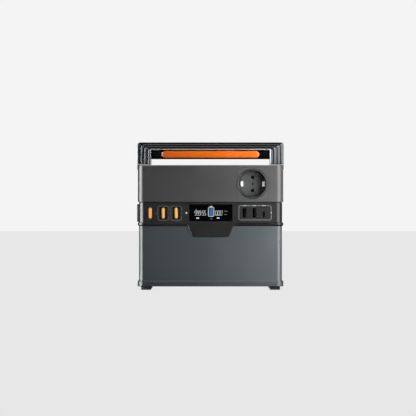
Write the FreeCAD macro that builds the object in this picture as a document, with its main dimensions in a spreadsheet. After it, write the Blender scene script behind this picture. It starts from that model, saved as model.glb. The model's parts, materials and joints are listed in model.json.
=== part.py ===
import FreeCAD, Part
import math
import os
import Sketcher

# A portable power station: a metal lower case with the battery, a mid frame with the controls,
# an upper housing with the mains socket, and a fixed carrying handle.
# Frame: origin on the table under the middle of the case, +X right, +Y back, +Z up, millimetres.

Vector = FreeCAD.Vector
Rotation = FreeCAD.Rotation

DIMENSIONS = {
    # levels above the table
    "foot_top": 5.0,
    "tray_floor": 8.0,
    "tray_top": 12.9,
    "shell_top": 90.8,
    "ring_top": 95.8,
    "band_top": 125.1,
    "ledge_low": 172.4,
    "cover_top": 178.0,
    "recess_floor": 166.0,
    "grip_bottom": 187.4,
    "grip_top": 200.3,
    "handle_top": 211.3,
    # outer case
    "case_width": 207.4,
    "case_depth": 135.0,
    "corner": 9.0,
    "band_round": 8.0,
    "tray_width": 207.8,
    "tray_depth": 135.4,
    "tray_edge": 0.7,
    "shell_width": 203.8,
    "shell_depth": 131.4,
    "band_width": 204.3,
    "band_depth": 132.0,
    "metal": 2.0,
    "wall": 2.6,
    "play": 0.2,
    "seam_tall": 0.8,
    "seam_deep": 0.7,
    "housing_low_edge": 0.8,
    "housing_top_edge": 1.0,
    "ledge_wide": 2.0,
    # feet and their screws
    "foot_across": 14.6,
    "foot_along": 24.0,
    "foot_out": 91.9,
    "foot_back": 48.0,
    "foot_round": 3.5,
    "foot_edge": 0.6,
    "boss_radius": 4.5,
    "boss_tall": 8.0,
    "screw_radius": 1.75,
    "screw_long": 12.0,
    "screw_head": 3.4,
    "head_thick": 2.2,
    "head_recess": 1.2,
    "counterbore": 4.0,
    "counterbore_deep": 3.0,
    # trim ring with its badge plate and its slot
    "ring_width": 207.6,
    "ring_depth": 135.2,
    "ring_low_round": 2.8,
    "ring_top_round": 1.0,
    "lip_tall": 3.0,
    "lip_thick": 2.0,
    "badge_top": 33.7,
    "badge_bottom": 26.0,
    "badge_low": 75.5,
    "badge_corner": 2.0,
    "badge_edge": 0.5,
    "slot_left": 39.0,
    "slot_right": 81.6,
    "slot_low": 93.8,
    "slot_tall": 1.4,
    "slot_deep": 2.0,
    # front panel
    "panel_half": 94.5,
    "panel_margin": 0.8,
    "panel_thick": 2.0,
    "panel_round": 1.5,
    "window_half": 90.0,
    "window_low": 98.6,
    "window_high": 122.3,
    # display
    "display_left": -30.4,
    "display_right": 31.4,
    "display_low": 97.9,
    "display_high": 122.0,
    "display_thick": 1.2,
    "display_round": 1.0,
    "display_ledge": 2.0,
    "module_deep": 4.0,
    "module_inset": 0.5,
    # push buttons with their wells, switches and status light
    "button_width": 4.4,
    "button_tall": 15.8,
    "button_level": 109.4,
    "button_first": -85.8,
    "button_pitch": 18.5,
    "button_proud": 0.9,
    "button_edge": 0.5,
    "button_travel": 0.8,
    "flange_rim": 1.0,
    "flange_thick": 1.2,
    "flange_round": 1.5,
    "well_width": 10.0,
    "well_tall": 18.6,
    "well_deep": 0.6,
    "well_round": 1.8,
    "switch_gap": 0.1,
    "switch_half": 3.0,
    "switch_deep": 4.5,
    "plunger_radius": 1.6,
    "plunger_long": 1.0,
    "board_thick": 1.6,
    "board_inset": 0.5,
    "light_x": -34.3,
    "light_level": 109.7,
    "light_bore": 1.25,
    "light_proud": 0.2,
    "light_board": 2.5,
    # USB sockets
    "usb_first": 48.5,
    "usb_pitch": 14.2,
    "usb_level": 110.0,
    "usb_opening": 5.12,
    "usb_tall": 12.5,
    "usb_sheet": 0.35,
    "usb_depth": 14.0,
    "usb_outer_round": 0.6,
    "usb_inner_round": 0.3,
    "usb_back": 1.0,
    "tongue_offset": 1.18,
    "tongue_half": 0.92,
    "tongue_half_tall": 5.5,
    "tongue_back": 1.0,
    "usbc_x": 76.0,
    "usbc_level": 107.45,
    "usbc_opening": 2.56,
    "usbc_tall": 8.34,
    "usbc_deep": 7.5,
    "usbc_tongue_half": 0.35,
    "usbc_tongue_half_tall": 3.3,
    "usb_board_left": 43.0,
    "usb_board_right": 82.0,
    # mains socket, earthed on both sides
    "socket_x": 60.2,
    "socket_level": 151.2,
    "socket_bore": 19.5,
    "socket_deep": 17.5,
    "socket_ring": 21.25,
    "socket_proud": 1.5,
    "socket_edge": 1.0,
    "socket_plate": 46.0,
    "plate_gap": 0.3,
    "plate_thick": 1.0,
    "plate_round": 3.0,
    "pin_half": 9.5,
    "pin_bore": 2.5,
    "cup_wall": 1.2,
    "cup_floor": 2.0,
    "centre_hole": 1.5,
    "guide_half": 2.4,
    "guide_tall": 1.6,
    "guide_root": 0.4,
    "guide_back": 1.0,
    "clip_out": 18.4,
    "clip_thick": 1.2,
    "clip_sole": 13.4,
    "clip_sole_thick": 1.0,
    "clip_nose": 15.6,
    "clip_long": 11.0,
    "clip_half": 2.5,
    "shutter_gap": 0.2,
    "shutter_thick": 1.5,
    "shutter_left": 11.0,
    "shutter_right": 5.0,
    "shutter_half_tall": 14.0,
    "shutter_round": 2.0,
    "shutter_travel": 6.0,
    "contact_gap": 0.3,
    "contact_outer": 3.3,
    "contact_bore": 2.5,
    "contact_long": 8.8,
    "socket_cover": 1.6,
    # port bay on the left
    "bay_front": -34.0,
    "bay_back": 38.0,
    "bay_level": 110.45,
    "bay_half": 12.6,
    "bay_rim": 1.0,
    "bay_end": 3.0,
    "bay_lip": 0.5,
    "bay_round": 3.0,
    "bay_deep": 2.65,
    "bay_thick": 2.0,
    "car_bore": 10.6,
    "car_depth": 34.0,
    "car_y": -14.0,
    "car_sheet": 0.9,
    "car_proud": 1.2,
    "car_cap": 1.5,
    "car_chamber": 8.0,
    "car_contact": 3.0,
    "car_contact_long": 4.0,
    "jack_first": 10.0,
    "jack_pitch": 15.0,
    "jack_sleeve": 4.6,
    "jack_proud": 0.8,
    "jack_half_wide": 5.0,
    "jack_half_tall": 6.0,
    "jack_block": 12.0,
    "jack_bore": 2.9,
    "jack_deep": 10.5,
    "jack_pin": 1.05,
    "jack_pin_back": 1.2,
    # port cover and its hinge
    "cover_low": 96.8,
    "cover_high": 122.4,
    "cover_front": -35.0,
    "cover_end": 37.4,
    "cover_gap": 0.25,
    "cover_out": 1.4,
    "cover_edge": 0.9,
    "seal_front": 6.2,
    "seal_back": 7.0,
    "seal_half": 10.8,
    "seal_deep": 2.2,
    "seal_thick": 2.0,
    "notch_deep": 1.8,
    "notch_long": 3.0,
    "notch_tall": 5.5,
    "notch_level": 109.45,
    "hinge_x": -103.9,
    "hinge_y": 39.5,
    "hinge_round": 1.6,
    "hinge_pin": 0.8,
    "hinge_play": 0.05,
    "knuckle_inset": 1.0,
    "knuckle_gap": 0.2,
    "leaf_out": 1.2,
    "leaf_in": 0.8,
    "leaf_root": 2.0,
    # handle
    "handle_half": 105.4,
    "rib_leg": 4.05,
    "groove_leg": 1.23,
    "rib_bar": 2.03,
    "groove_bar": 0.96,
    "rib_first_depth": 11.0,
    "rib_step": 4.0,
    "rib_edge": 0.6,
    "rib_round": 4.4,
    "groove_deep": 3.0,
    "sole_tall": 1.5,
    "sole_slope": 1.2,
    "skirt_tall": 5.5,
    "skirt_extra": 2.0,
    "skirt_round": 1.0,
    "handle_hole_y": 5.5,
    "handle_hole_deep": 12.0,
    "handle_screw": 1.7,
    "handle_screw_hole": 2.0,
    "handle_screw_head": 3.5,
    "handle_head_thick": 2.0,
    "grip_half_depth": 20.0,
    "grip_round": 3.5,
    "insert_half": 70.4,
    "insert_tall": 9.9,
    "insert_sunk": 1.4,
    "insert_proud": 0.6,
    "insert_edge": 0.9,
    "recess_half": 72.0,
    "recess_half_depth": 34.0,
    "recess_round": 10.0,
    # cooling fan, its grille and the intake grille
    "fan_size": 40.0,
    "fan_thick": 10.0,
    "fan_level": 148.0,
    "fan_radius": 18.2,
    "fan_gap": 0.6,
    "fan_duct": 0.8,
    "fan_round": 2.5,
    "fan_front_gap": 1.6,
    "fan_hub": 7.5,
    "fan_blade": 1.0,
    "fan_root": 1.0,
    "strut_hub": 7.0,
    "strut_half": 1.0,
    "strut_thick": 1.2,
    "grille_thick": 1.6,
    "grille_margin": 1.0,
    "grille_round": 3.0,
    "grille_pitch": 4.0,
    "grille_end": 4.0,
    "intake_extra": 6.0,
    "intake_rim": 2.0,
    # rear lamp
    "lamp_half": 50.0,
    "lamp_tall": 20.0,
    "lamp_level": 152.0,
    "lamp_round": 3.0,
    "lens_proud": 0.5,
    "lens_thick": 1.0,
    "lens_rim": 2.0,
    "lamp_board_half": 9.0,
    "emitter_pitch": 9.0,
    "emitter_half": 1.4,
    "emitter_tall": 0.8,
    # battery
    "cell_radius": 9.2,
    "cell_tall": 65.2,
    "cell_pitch": 20.3,
    "cell_low": 13.0,
    "holder_rim": 1.0,
    "holder_tall": 6.0,
    "busbar_thick": 0.3,
    "busbar_half": 16.24,
    "busbar_reach": 38.57,
    "bms_half": 60.0,
    "bms_half_depth": 30.0,
    "chip_first": -48.0,
    "chip_pitch": 16.0,
    "chip_wide": 10.0,
    "chip_front": 14.0,
    "chip_deep": 6.0,
    "chip_tall": 2.4,
    # deck plate and inverter
    "deck_thick": 2.0,
    "deck_round": 4.0,
    "deck_play": 0.5,
    "deck_front_gap": 9.0,
    "lead_radius": 2.0,
    "lead_hole": 2.2,
    "lead_y": 34.0,
    "lead_shift": 8.0,
    "inverter_left": -56.0,
    "inverter_right": 86.0,
    "inverter_half": 36.0,
    "post_radius": 2.5,
    "post_tall": 4.0,
    "post_inset": 6.0,
    "core_left": -20.0,
    "core_right": 16.0,
    "core_half": 17.0,
    "core_tall": 30.0,
    "winding_extra": 4.0,
    "winding_radius": 13.0,
    "sink_left": 24.0,
    "sink_right": 80.0,
    "sink_front": -30.0,
    "sink_back": 24.0,
    "sink_deep": 6.0,
    "sink_tall": 28.0,
    "sink_web": 2.0,
    "fin_gap": 2.5,
    "fin_pitch": 5.0,
    "capacitor_radius": 8.0,
    "capacitor_tall": 24.0,
}

doc = FreeCAD.newDocument("PowerStation")
sheet = doc.addObject("Spreadsheet::Sheet", "Size")
for row, (alias, number) in enumerate(DIMENSIONS.items(), start=1):
    sheet.set(f"A{row}", alias.replace("_", " "))
    sheet.set(f"B{row}", str(number))
    sheet.setAlias(f"B{row}", alias)
doc.recompute()


class Term:
    """A size that carries its value and the sheet expression it comes from."""

    def __init__(self, value, text):
        self.value = value
        self.text = text

    @staticmethod
    def of(other):
        if isinstance(other, Term):
            return other
        return Term(float(other), f"({float(other):.6g})")

    def __add__(self, other):
        other = Term.of(other)
        return Term(self.value + other.value, f"({self.text} + {other.text})")

    def __sub__(self, other):
        other = Term.of(other)
        return Term(self.value - other.value, f"({self.text} - {other.text})")

    def __mul__(self, other):
        other = Term.of(other)
        return Term(self.value * other.value, f"({self.text} * {other.text})")

    def __truediv__(self, other):
        other = Term.of(other)
        return Term(self.value / other.value, f"({self.text} / {other.text})")

    def __neg__(self):
        return Term(-self.value, f"(0 - {self.text})")

    def __radd__(self, other):
        return Term.of(other) + self

    def __rsub__(self, other):
        return Term.of(other) - self

    def __rmul__(self, other):
        return Term.of(other) * self


class Sizes:
    """Every alias of the sheet as a Term: D.case_width and so on."""

    def __init__(self, table):
        for alias, number in table.items():
            setattr(self, alias, Term(number, "Size." + alias))


D = Sizes(DIMENSIONS)
pieces = {}


def bind(item, prop, size):
    item.setExpression(prop, Term.of(size).text)


def finished(item, label):
    """Name a finished sub-part and keep it for writing."""
    item.Label = label
    pieces[label] = item
    return item


# ---------------------------------------------------------------------------
# PartDesign helpers: a block or a cut is given by its two opposite corners, low and high,
# and by the axis that its sketch looks along.
# ---------------------------------------------------------------------------

PLANES = {"x": "YZ_Plane", "y": "XZ_Plane", "z": "XY_Plane"}
ACROSS = {"x": (1, 2), "y": (0, 2), "z": (0, 1)}
AXIS = {"x": 0, "y": 1, "z": 2}
START = (-1, 1)
NEAR = 0.0001


def origin_item(body, role):
    return next(item for item in body.Origin.OriginFeatures if item.Role == role)


def new_body(label):
    return doc.addObject("PartDesign::Body", label)


def new_sketch(body, axis, level):
    """A sketch square to an axis, at a level along it."""
    sketch = body.newObject("Sketcher::SketchObject", body.Name + "_sketch")
    sketch.AttachmentSupport = [(origin_item(body, PLANES[axis]), "")]
    sketch.MapMode = "FlatFace"
    bind(sketch, "AttachmentOffset.Base.z", -Term.of(level) if axis == "y" else level)
    return sketch


def fix(sketch, name, constraint, size):
    """Add a named constraint that follows the sheet."""
    index = sketch.addConstraint(constraint)
    sketch.renameConstraint(index, name)
    bind(sketch, "Constraints." + name, size)


def fix_point(sketch, name, geometry, point, at):
    at = [Term.of(size) for size in at]
    for suffix, kind, size in zip("uv", ("DistanceX", "DistanceY"), at):
        fix(sketch, name + "_" + suffix, Sketcher.Constraint(kind, *START, geometry, point, size.value), size)


def draw_polygon(sketch, points):
    points = [[Term.of(size) for size in point] for point in points]
    spots = [Vector(point[0].value, point[1].value, 0) for point in points]
    count = len(points)
    lines = [Part.LineSegment(spots[i], spots[(i + 1) % count]) for i in range(count)]
    sketch.addGeometry(lines, False)
    for i in range(count):
        sketch.addConstraint(Sketcher.Constraint("Coincident", i, 2, (i + 1) % count, 1))
    for i, point in enumerate(points):
        fix_point(sketch, f"corner{i}", i, 1, point)


def draw_rounded(sketch, low, high, radius):
    """A rectangle with four equal rounded corners."""
    left, bottom = (Term.of(size) for size in low)
    right, top = (Term.of(size) for size in high)
    radius = Term.of(radius)
    l, b, r, t, c = left.value, bottom.value, right.value, top.value, radius.value
    lines = [
        ((l + c, b), (r - c, b)),
        ((r, b + c), (r, t - c)),
        ((r - c, t), (l + c, t)),
        ((l, t - c), (l, b + c)),
    ]
    sketch.addGeometry([Part.LineSegment(Vector(*a, 0), Vector(*z, 0)) for a, z in lines], False)
    for i, (u, v) in enumerate(((r - c, b + c), (r - c, t - c), (l + c, t - c), (l + c, b + c))):
        begin = math.radians(270 + 90 * i)
        circle = Part.Circle(Vector(u, v, 0), Vector(0, 0, 1), c)
        sketch.addGeometry(Part.ArcOfCircle(circle, begin, begin + math.pi / 2), False)
    rules = []
    for i in range(4):
        rules.append(Sketcher.Constraint("Tangent", i, 2, 4 + i, 1))
        rules.append(Sketcher.Constraint("Tangent", 4 + i, 2, (i + 1) % 4, 1))
        rules.append(Sketcher.Constraint("Vertical" if i % 2 else "Horizontal", i))
    rules += [Sketcher.Constraint("Equal", 4, i) for i in (5, 6, 7)]
    sketch.addConstraint(rules)
    fix(sketch, "radius", Sketcher.Constraint("Radius", 4, c), radius)
    fix(sketch, "left", Sketcher.Constraint("DistanceX", *START, 3, 1, l), left)
    fix(sketch, "right", Sketcher.Constraint("DistanceX", *START, 1, 1, r), right)
    fix(sketch, "bottom", Sketcher.Constraint("DistanceY", *START, 0, 1, b), bottom)
    fix(sketch, "top", Sketcher.Constraint("DistanceY", *START, 2, 1, t), top)


def draw_square_outline(sketch, points, radius, rounded):
    """A closed outline of level and upright lines, with an arc at each of the rounded corners."""
    points = [[Term.of(size) for size in point] for point in points]
    radius = Term.of(radius)
    count = len(points)
    spots = [Vector(u.value, v.value, 0) for u, v in points]
    ways = [(spots[(i + 1) % count] - spots[i]).normalize() for i in range(count)]
    reach = [radius.value if i in rounded else 0 for i in range(count)]
    for i, way in enumerate(ways):
        after = (i + 1) % count
        line = Part.LineSegment(spots[i] + way * reach[i], spots[after] - way * reach[after])
        sketch.addGeometry(line, False)
    rules, arcs = [], []
    for i, way in enumerate(ways):
        before = (i - 1) % count
        rules.append(Sketcher.Constraint("Vertical" if abs(way.y) > abs(way.x) else "Horizontal", i))
        if i not in rounded:
            rules.append(Sketcher.Constraint("Coincident", before, 2, i, 1))
            continue
        arriving = spots[i] - ways[before] * reach[i]
        leaving = spots[i] + way * reach[i]
        turns_left = ways[before].cross(way).z > 0
        centre = arriving + way * reach[i]
        spoke = (arriving if turns_left else leaving) - centre
        begin = math.atan2(spoke.y, spoke.x)
        circle = Part.Circle(centre, Vector(0, 0, 1), reach[i])
        arc = sketch.addGeometry(Part.ArcOfCircle(circle, begin, begin + math.pi / 2), False)
        first, last = (1, 2) if turns_left else (2, 1)
        rules.append(Sketcher.Constraint("Tangent", before, 2, arc, first))
        rules.append(Sketcher.Constraint("Tangent", arc, last, i, 1))
        arcs.append(arc)
    rules += [Sketcher.Constraint("Equal", arcs[0], arc) for arc in arcs[1:]]
    sketch.addConstraint(rules)
    fix(sketch, "radius", Sketcher.Constraint("Radius", arcs[0], radius.value), radius)
    for i, (way, (u, v)) in enumerate(zip(ways, points)):
        if abs(way.y) > abs(way.x):
            fix(sketch, f"side{i}", Sketcher.Constraint("DistanceX", *START, i, 1, u.value), u)
        else:
            fix(sketch, f"level{i}", Sketcher.Constraint("DistanceY", *START, i, 1, v.value), v)


def draw_circles(sketch, centres, radius):
    radius = Term.of(radius)
    for i, centre in enumerate(centres):
        spot = [Term.of(size) for size in centre]
        middle = Vector(spot[0].value, spot[1].value, 0)
        sketch.addGeometry(Part.Circle(middle, Vector(0, 0, 1), radius.value), False)
        fix(sketch, f"radius{i}", Sketcher.Constraint("Radius", i, radius.value), radius)
        fix_point(sketch, f"centre{i}", i, 3, spot)


def extrude(body, sketch, kind, length):
    feature = body.newObject("PartDesign::" + kind, body.Name + "_" + kind.lower())
    feature.Profile = sketch
    bind(feature, "Length", length)
    body.Tip = feature
    return feature


def outline(sketch, axis, low, high, radius):
    first, second = ACROSS[axis]
    if radius is None:
        u0, v0, u1, v1 = low[first], low[second], high[first], high[second]
        draw_polygon(sketch, [(u0, v0), (u1, v0), (u1, v1), (u0, v1)])
    else:
        draw_rounded(sketch, (low[first], low[second]), (high[first], high[second]), radius)


def add_block(body, axis, low, high, radius=None):
    """Add a block, with its four edges along the axis rounded."""
    along = AXIS[axis]
    begin, end = (high[along], low[along]) if axis == "y" else (low[along], high[along])
    sketch = new_sketch(body, axis, begin)
    outline(sketch, axis, low, high, radius)
    return extrude(body, sketch, "Pad", Term.of(high[along]) - low[along])


def cut_block(body, axis, low, high, radius=None):
    """Cut a block out, with its four edges along the axis rounded."""
    along = AXIS[axis]
    begin = low[along] if axis == "y" else high[along]
    sketch = new_sketch(body, axis, begin)
    outline(sketch, axis, low, high, radius)
    return extrude(body, sketch, "Pocket", Term.of(high[along]) - low[along])


def add_rods(body, axis, centres, radius, low, high):
    """Add round rods along an axis. Centres are given in the sketch's two directions."""
    sketch = new_sketch(body, axis, high if axis == "y" else low)
    draw_circles(sketch, centres, radius)
    return extrude(body, sketch, "Pad", Term.of(high) - low)


def cut_rods(body, axis, centres, radius, low, high):
    sketch = new_sketch(body, axis, low if axis == "y" else high)
    draw_circles(sketch, centres, radius)
    return extrude(body, sketch, "Pocket", Term.of(high) - low)


def repeat(body, feature, axis, spacing, count):
    """Repeat a feature along an axis of the body."""
    pattern = body.newObject("PartDesign::LinearPattern", body.Name + "_pattern")
    pattern.Originals = [feature]
    pattern.Direction = (origin_item(body, axis.upper() + "_Axis"), [""])
    pattern.Occurrences = count
    bind(pattern, "Length", spacing * (count - 1))
    body.Tip = pattern
    return pattern


def dress(body, kind, prop, size, wanted):
    """Fillet or chamfer the edges of the body's tip that the test picks."""
    doc.recompute()
    tip = body.Tip
    names = [f"Edge{i}" for i, edge in enumerate(tip.Shape.Edges, start=1) if wanted(edge)]
    feature = body.newObject("PartDesign::" + kind, body.Name + "_" + kind.lower())
    feature.Base = (tip, names)
    bind(feature, prop, size)
    body.Tip = feature
    return feature


def in_plane(axis, level):
    """A test for the edges that lie in the plane square to an axis at one level."""
    level = Term.of(level).value
    low, high = axis.upper() + "Min", axis.upper() + "Max"

    def wanted(edge):
        bounds = edge.BoundBox
        return abs(getattr(bounds, low) - level) < NEAR and abs(getattr(bounds, high) - level) < NEAR

    return wanted


def centred(width, depth, low, high):
    """The two corners of a block centred on the frame's Z axis."""
    return (-width / 2, -depth / 2, low), (width / 2, depth / 2, high)


# ---------------------------------------------------------------------------
# Part helpers for plain pieces
# ---------------------------------------------------------------------------

TURNS = {"x": Rotation(Vector(0, 1, 0), 90), "y": Rotation(Vector(1, 0, 0), -90), "z": Rotation()}


def place(item, spot):
    for letter, size in zip("xyz", spot):
        bind(item, "Placement.Base." + letter, size)


def box(name, low, high):
    item = doc.addObject("Part::Box", name)
    for prop, begin, end in zip(("Length", "Width", "Height"), low, high):
        bind(item, prop, Term.of(end) - begin)
    place(item, low)
    return item


def rod(name, axis, base, radius, length):
    item = doc.addObject("Part::Cylinder", name)
    bind(item, "Radius", radius)
    bind(item, "Height", length)
    item.Placement = FreeCAD.Placement(Vector(), TURNS[axis])
    place(item, base)
    return item


def fuse(name, items):
    item = doc.addObject("Part::MultiFuse", name)
    item.Shapes = items
    return item


def cut(name, base, tool):
    item = doc.addObject("Part::Cut", name)
    item.Base = base
    item.Tool = tool
    return item


def group(name, items):
    """Several separate solids as one sub-part."""
    item = doc.addObject("Part::Compound", name)
    item.Links = items
    return item


def tube(name, axis, base, outer, inner, length):
    wall = rod(name + "_outer", axis, base, outer, length)
    bore = rod(name + "_bore", axis, base, inner, length)
    return cut(name, wall, bore)


# ---------------------------------------------------------------------------
# Lower case
# ---------------------------------------------------------------------------

def base_tray():
    """The bottom tray that the metal shell stands in, with bosses for the foot screws."""
    body = new_body("base_tray_body")
    low, high = centred(D.tray_width, D.tray_depth, D.foot_top, D.tray_top)
    add_block(body, "z", low, high, D.corner)
    dress(body, "Chamfer", "Size", D.tray_edge, in_plane("z", D.tray_top))
    dress(body, "Fillet", "Radius", D.tray_edge, in_plane("z", D.foot_top))
    low, high = centred(D.shell_width, D.shell_depth, D.tray_floor, D.tray_top)
    cut_block(body, "z", low, high, D.corner - D.metal)
    centres = foot_centres()
    boss_top = D.tray_floor + D.boss_tall
    add_rods(body, "z", centres, D.boss_radius, D.tray_floor, boss_top)
    cut_rods(body, "z", centres, D.screw_radius, D.foot_top, boss_top)
    return finished(body, "base_tray")


def foot_centres():
    return [(side * D.foot_out, end * D.foot_back) for side in (-1, 1) for end in (-1, 1)]


def feet():
    """Four rubber feet, each with a counterbore for its screw."""
    for side, side_name in ((-1, "left"), (1, "right")):
        for end, end_name in ((-1, "front"), (1, "rear")):
            label = f"foot_{end_name}_{side_name}"
            body = new_body(label + "_body")
            x, y = side * D.foot_out, end * D.foot_back
            low = (x - D.foot_across / 2, y - D.foot_along / 2, 0)
            high = (x + D.foot_across / 2, y + D.foot_along / 2, D.foot_top)
            add_block(body, "z", low, high, D.foot_round)
            dress(body, "Chamfer", "Size", D.foot_edge, in_plane("z", 0))
            cut_rods(body, "z", [(x, y)], D.counterbore, 0, D.counterbore_deep)
            cut_rods(body, "z", [(x, y)], D.screw_radius, D.counterbore_deep, D.foot_top)
            finished(body, label)


def foot_screws():
    screws = []
    head_low = D.counterbore_deep - D.head_thick
    for i, (x, y) in enumerate(foot_centres()):
        head = rod(f"foot_screw_head{i}", "z", (x, y, head_low), D.screw_head, D.head_thick)
        shank = rod(f"foot_screw_shank{i}", "z", (x, y, D.counterbore_deep), D.screw_radius, D.screw_long)
        recess = rod(f"foot_screw_recess{i}", "z", (x, y, head_low), D.head_recess, D.head_recess)
        screws.append(cut(f"foot_screw{i}", fuse(f"foot_screw_solid{i}", [head, shank]), recess))
    return finished(group("foot_screws_group", screws), "foot_screws")


def lower_shell():
    """The bent metal sleeve of the lower case."""
    body = new_body("lower_shell_body")
    low, high = centred(D.shell_width, D.shell_depth, D.tray_floor, D.shell_top)
    add_block(body, "z", low, high, D.corner - D.metal)
    low, high = centred(D.shell_width - 2 * D.metal, D.shell_depth - 2 * D.metal, D.tray_floor, D.shell_top)
    cut_block(body, "z", low, high, D.corner - 2 * D.metal)
    return finished(body, "lower_shell")


def trim_ring():
    """The ring between the lower case and the mid frame, with the blank badge plate in front."""
    body = new_body("trim_ring_body")
    low, high = centred(D.ring_width, D.ring_depth, D.shell_top, D.ring_top)
    add_block(body, "z", low, high, D.corner)
    dress(body, "Fillet", "Radius", D.ring_low_round, in_plane("z", D.shell_top))
    dress(body, "Fillet", "Radius", D.ring_top_round, in_plane("z", D.ring_top))
    lip_low = D.shell_top - D.lip_tall
    inner_width = D.shell_width - 2 * D.metal - 2 * D.play
    inner_depth = D.shell_depth - 2 * D.metal - 2 * D.play
    low, high = centred(inner_width, inner_depth, lip_low, D.ring_top - D.lip_tall)
    add_block(body, "z", low, high, D.corner - 2 * D.metal)
    low, high = centred(inner_width - 2 * D.lip_thick, inner_depth - 2 * D.lip_thick, lip_low, D.ring_top)
    cut_block(body, "z", low, high, D.corner - 3 * D.metal)
    badge_front = -D.ring_depth / 2
    badge_rear = -D.shell_depth / 2
    edge_start = badge_front + D.badge_edge
    top = D.ring_top - D.ring_top_round - D.panel_margin / 2
    for begin, end, taper in ((badge_rear, edge_start, 0), (edge_start, badge_front, -45)):
        sketch = new_sketch(body, "y", begin)
        draw_badge(sketch, top)
        pad = extrude(body, sketch, "Pad", begin - end)
        pad.TaperAngle = taper
    low = (D.slot_left, badge_front, D.slot_low)
    high = (D.slot_right, badge_front + D.slot_deep, D.slot_low + D.slot_tall)
    cut_block(body, "z", low, high)
    return finished(body, "trim_ring")


def draw_badge(sketch, top):
    """The badge's outline: a narrower lower edge and sloped sides, with cut lower corners."""
    slope = (D.badge_top - D.badge_bottom) / (top - D.badge_low)
    corner_out = D.badge_bottom + D.badge_corner * slope
    draw_polygon(sketch, [
        (-D.badge_bottom + D.badge_corner, D.badge_low),
        (D.badge_bottom - D.badge_corner, D.badge_low),
        (corner_out, D.badge_low + D.badge_corner),
        (D.badge_top, top),
        (-D.badge_top, top),
        (-corner_out, D.badge_low + D.badge_corner),
    ])


# ---------------------------------------------------------------------------
# Mid frame with the front panel
# ---------------------------------------------------------------------------

def mid_frame():
    """The band with the panel window in front, the port bay on the left and the hinge lug."""
    body = new_body("mid_frame_body")
    seam = D.band_top - D.seam_tall
    low, high = centred(D.band_width, D.band_depth, D.ring_top, seam)
    add_block(body, "z", low, high, D.band_round)
    low, high = centred(D.band_width - 2 * D.seam_deep, D.band_depth - 2 * D.seam_deep, seam, D.band_top)
    add_block(body, "z", low, high, D.band_round - D.seam_deep)
    low, high = centred(D.band_width - 2 * D.wall, D.band_depth - 2 * D.wall, D.ring_top, D.band_top)
    cut_block(body, "z", low, high, D.band_round - D.wall)
    front = -D.band_depth / 2
    rim = front + D.panel_thick
    back = rim + D.wall
    panel_low = D.ring_top + D.panel_margin
    panel_high = D.band_top - D.panel_margin
    add_block(body, "y", (-D.panel_half, rim, D.ring_top), (D.panel_half, back, D.band_top))
    cut_block(body, "y", (-D.panel_half, front, panel_low), (D.panel_half, rim, panel_high), D.panel_round)
    window_low = (-D.window_half, rim, D.window_low)
    window_high = (D.window_half, back, D.window_high)
    cut_block(body, "y", window_low, window_high, D.panel_round)
    side = -D.band_width / 2
    bay_low, bay_high = bay_opening(side, side + D.wall, D.bay_lip)
    cut_block(body, "x", bay_low, bay_high, D.bay_round - D.bay_rim)
    lug_low, lug_high = hinge_levels()[1]
    add_block(
        body, "z",
        (D.hinge_x, D.hinge_y - D.hinge_round, lug_low),
        (side, D.hinge_y + D.hinge_round, lug_high),
    )
    add_rods(body, "z", [(D.hinge_x, D.hinge_y)], D.hinge_round, lug_low, lug_high)
    cut_rods(body, "z", [(D.hinge_x, D.hinge_y)], D.hinge_pin, lug_low, lug_high)
    return finished(body, "mid_frame")


def bay_opening(begin, end, lip):
    """The two corners of the port bay's opening, from one X level to another."""
    inner_half = D.bay_half - D.bay_rim
    return (
        (begin, D.bay_front + D.bay_end + lip, D.bay_level - inner_half),
        (end, D.bay_back - D.bay_end - lip, D.bay_level + inner_half),
    )


def hinge_levels():
    """The levels of the lower knuckle, the lug between and the upper knuckle."""
    third = (D.cover_high - D.cover_low - 2 * D.knuckle_inset) / 3
    start = D.cover_low + D.knuckle_inset
    return [
        (start, start + third - D.knuckle_gap),
        (start + third, start + 2 * third),
        (start + 2 * third + D.knuckle_gap, start + 3 * third),
    ]


def button_places():
    return [D.button_first + D.button_pitch * i for i in range(3)]


def usb_places():
    return [D.usb_first + D.usb_pitch * i for i in range(2)]


def upright_slot(x, level, width, tall, front, back):
    """The two corners of an upright slot in a front plate."""
    return (x - width / 2, front, level - tall / 2), (x + width / 2, back, level + tall / 2)


def round_end(width):
    """The corner radius that makes a slot's ends round, with a trace of straight edge left."""
    return width / 2 - 0.05


def front_panel():
    """The control panel with its slots for the display, the buttons and the USB sockets."""
    body = new_body("front_panel_body")
    front = -D.band_depth / 2
    back = front + D.panel_thick
    low = (-D.panel_half, front, D.ring_top + D.panel_margin)
    high = (D.panel_half, back, D.band_top - D.panel_margin)
    add_block(body, "y", low, high, D.panel_round)
    ledge = front + D.display_thick
    low = (D.display_left, front, D.display_low)
    high = (D.display_right, ledge, D.display_high)
    cut_block(body, "y", low, high, D.display_round)
    low = (D.display_left + D.display_ledge, ledge, D.display_low + D.display_ledge)
    high = (D.display_right - D.display_ledge, back, D.display_high - D.display_ledge)
    cut_block(body, "y", low, high, D.display_round)
    for x in button_places()[1:]:
        low, high = upright_slot(x, D.button_level, D.well_width, D.well_tall, front, front + D.well_deep)
        cut_block(body, "y", low, high, D.well_round)
    for x in button_places():
        width = D.button_width + 2 * D.play
        low, high = upright_slot(x, D.button_level, width, D.button_tall + 2 * D.play, front, back)
        cut_block(body, "y", low, high, round_end(width))
    for x in usb_places():
        width = D.usb_opening + 2 * D.usb_sheet
        low, high = upright_slot(x, D.usb_level, width, D.usb_tall + 2 * D.usb_sheet, front, back)
        cut_block(body, "y", low, high, D.usb_outer_round)
    width = D.usbc_opening + 2 * D.usb_sheet
    low, high = upright_slot(D.usbc_x, D.usbc_level, width, D.usbc_tall + 2 * D.usb_sheet, front, back)
    cut_block(body, "y", low, high, round_end(width))
    cut_rods(body, "y", [(D.light_x, D.light_level)], D.light_bore, front, back)
    return finished(body, "front_panel")


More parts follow.
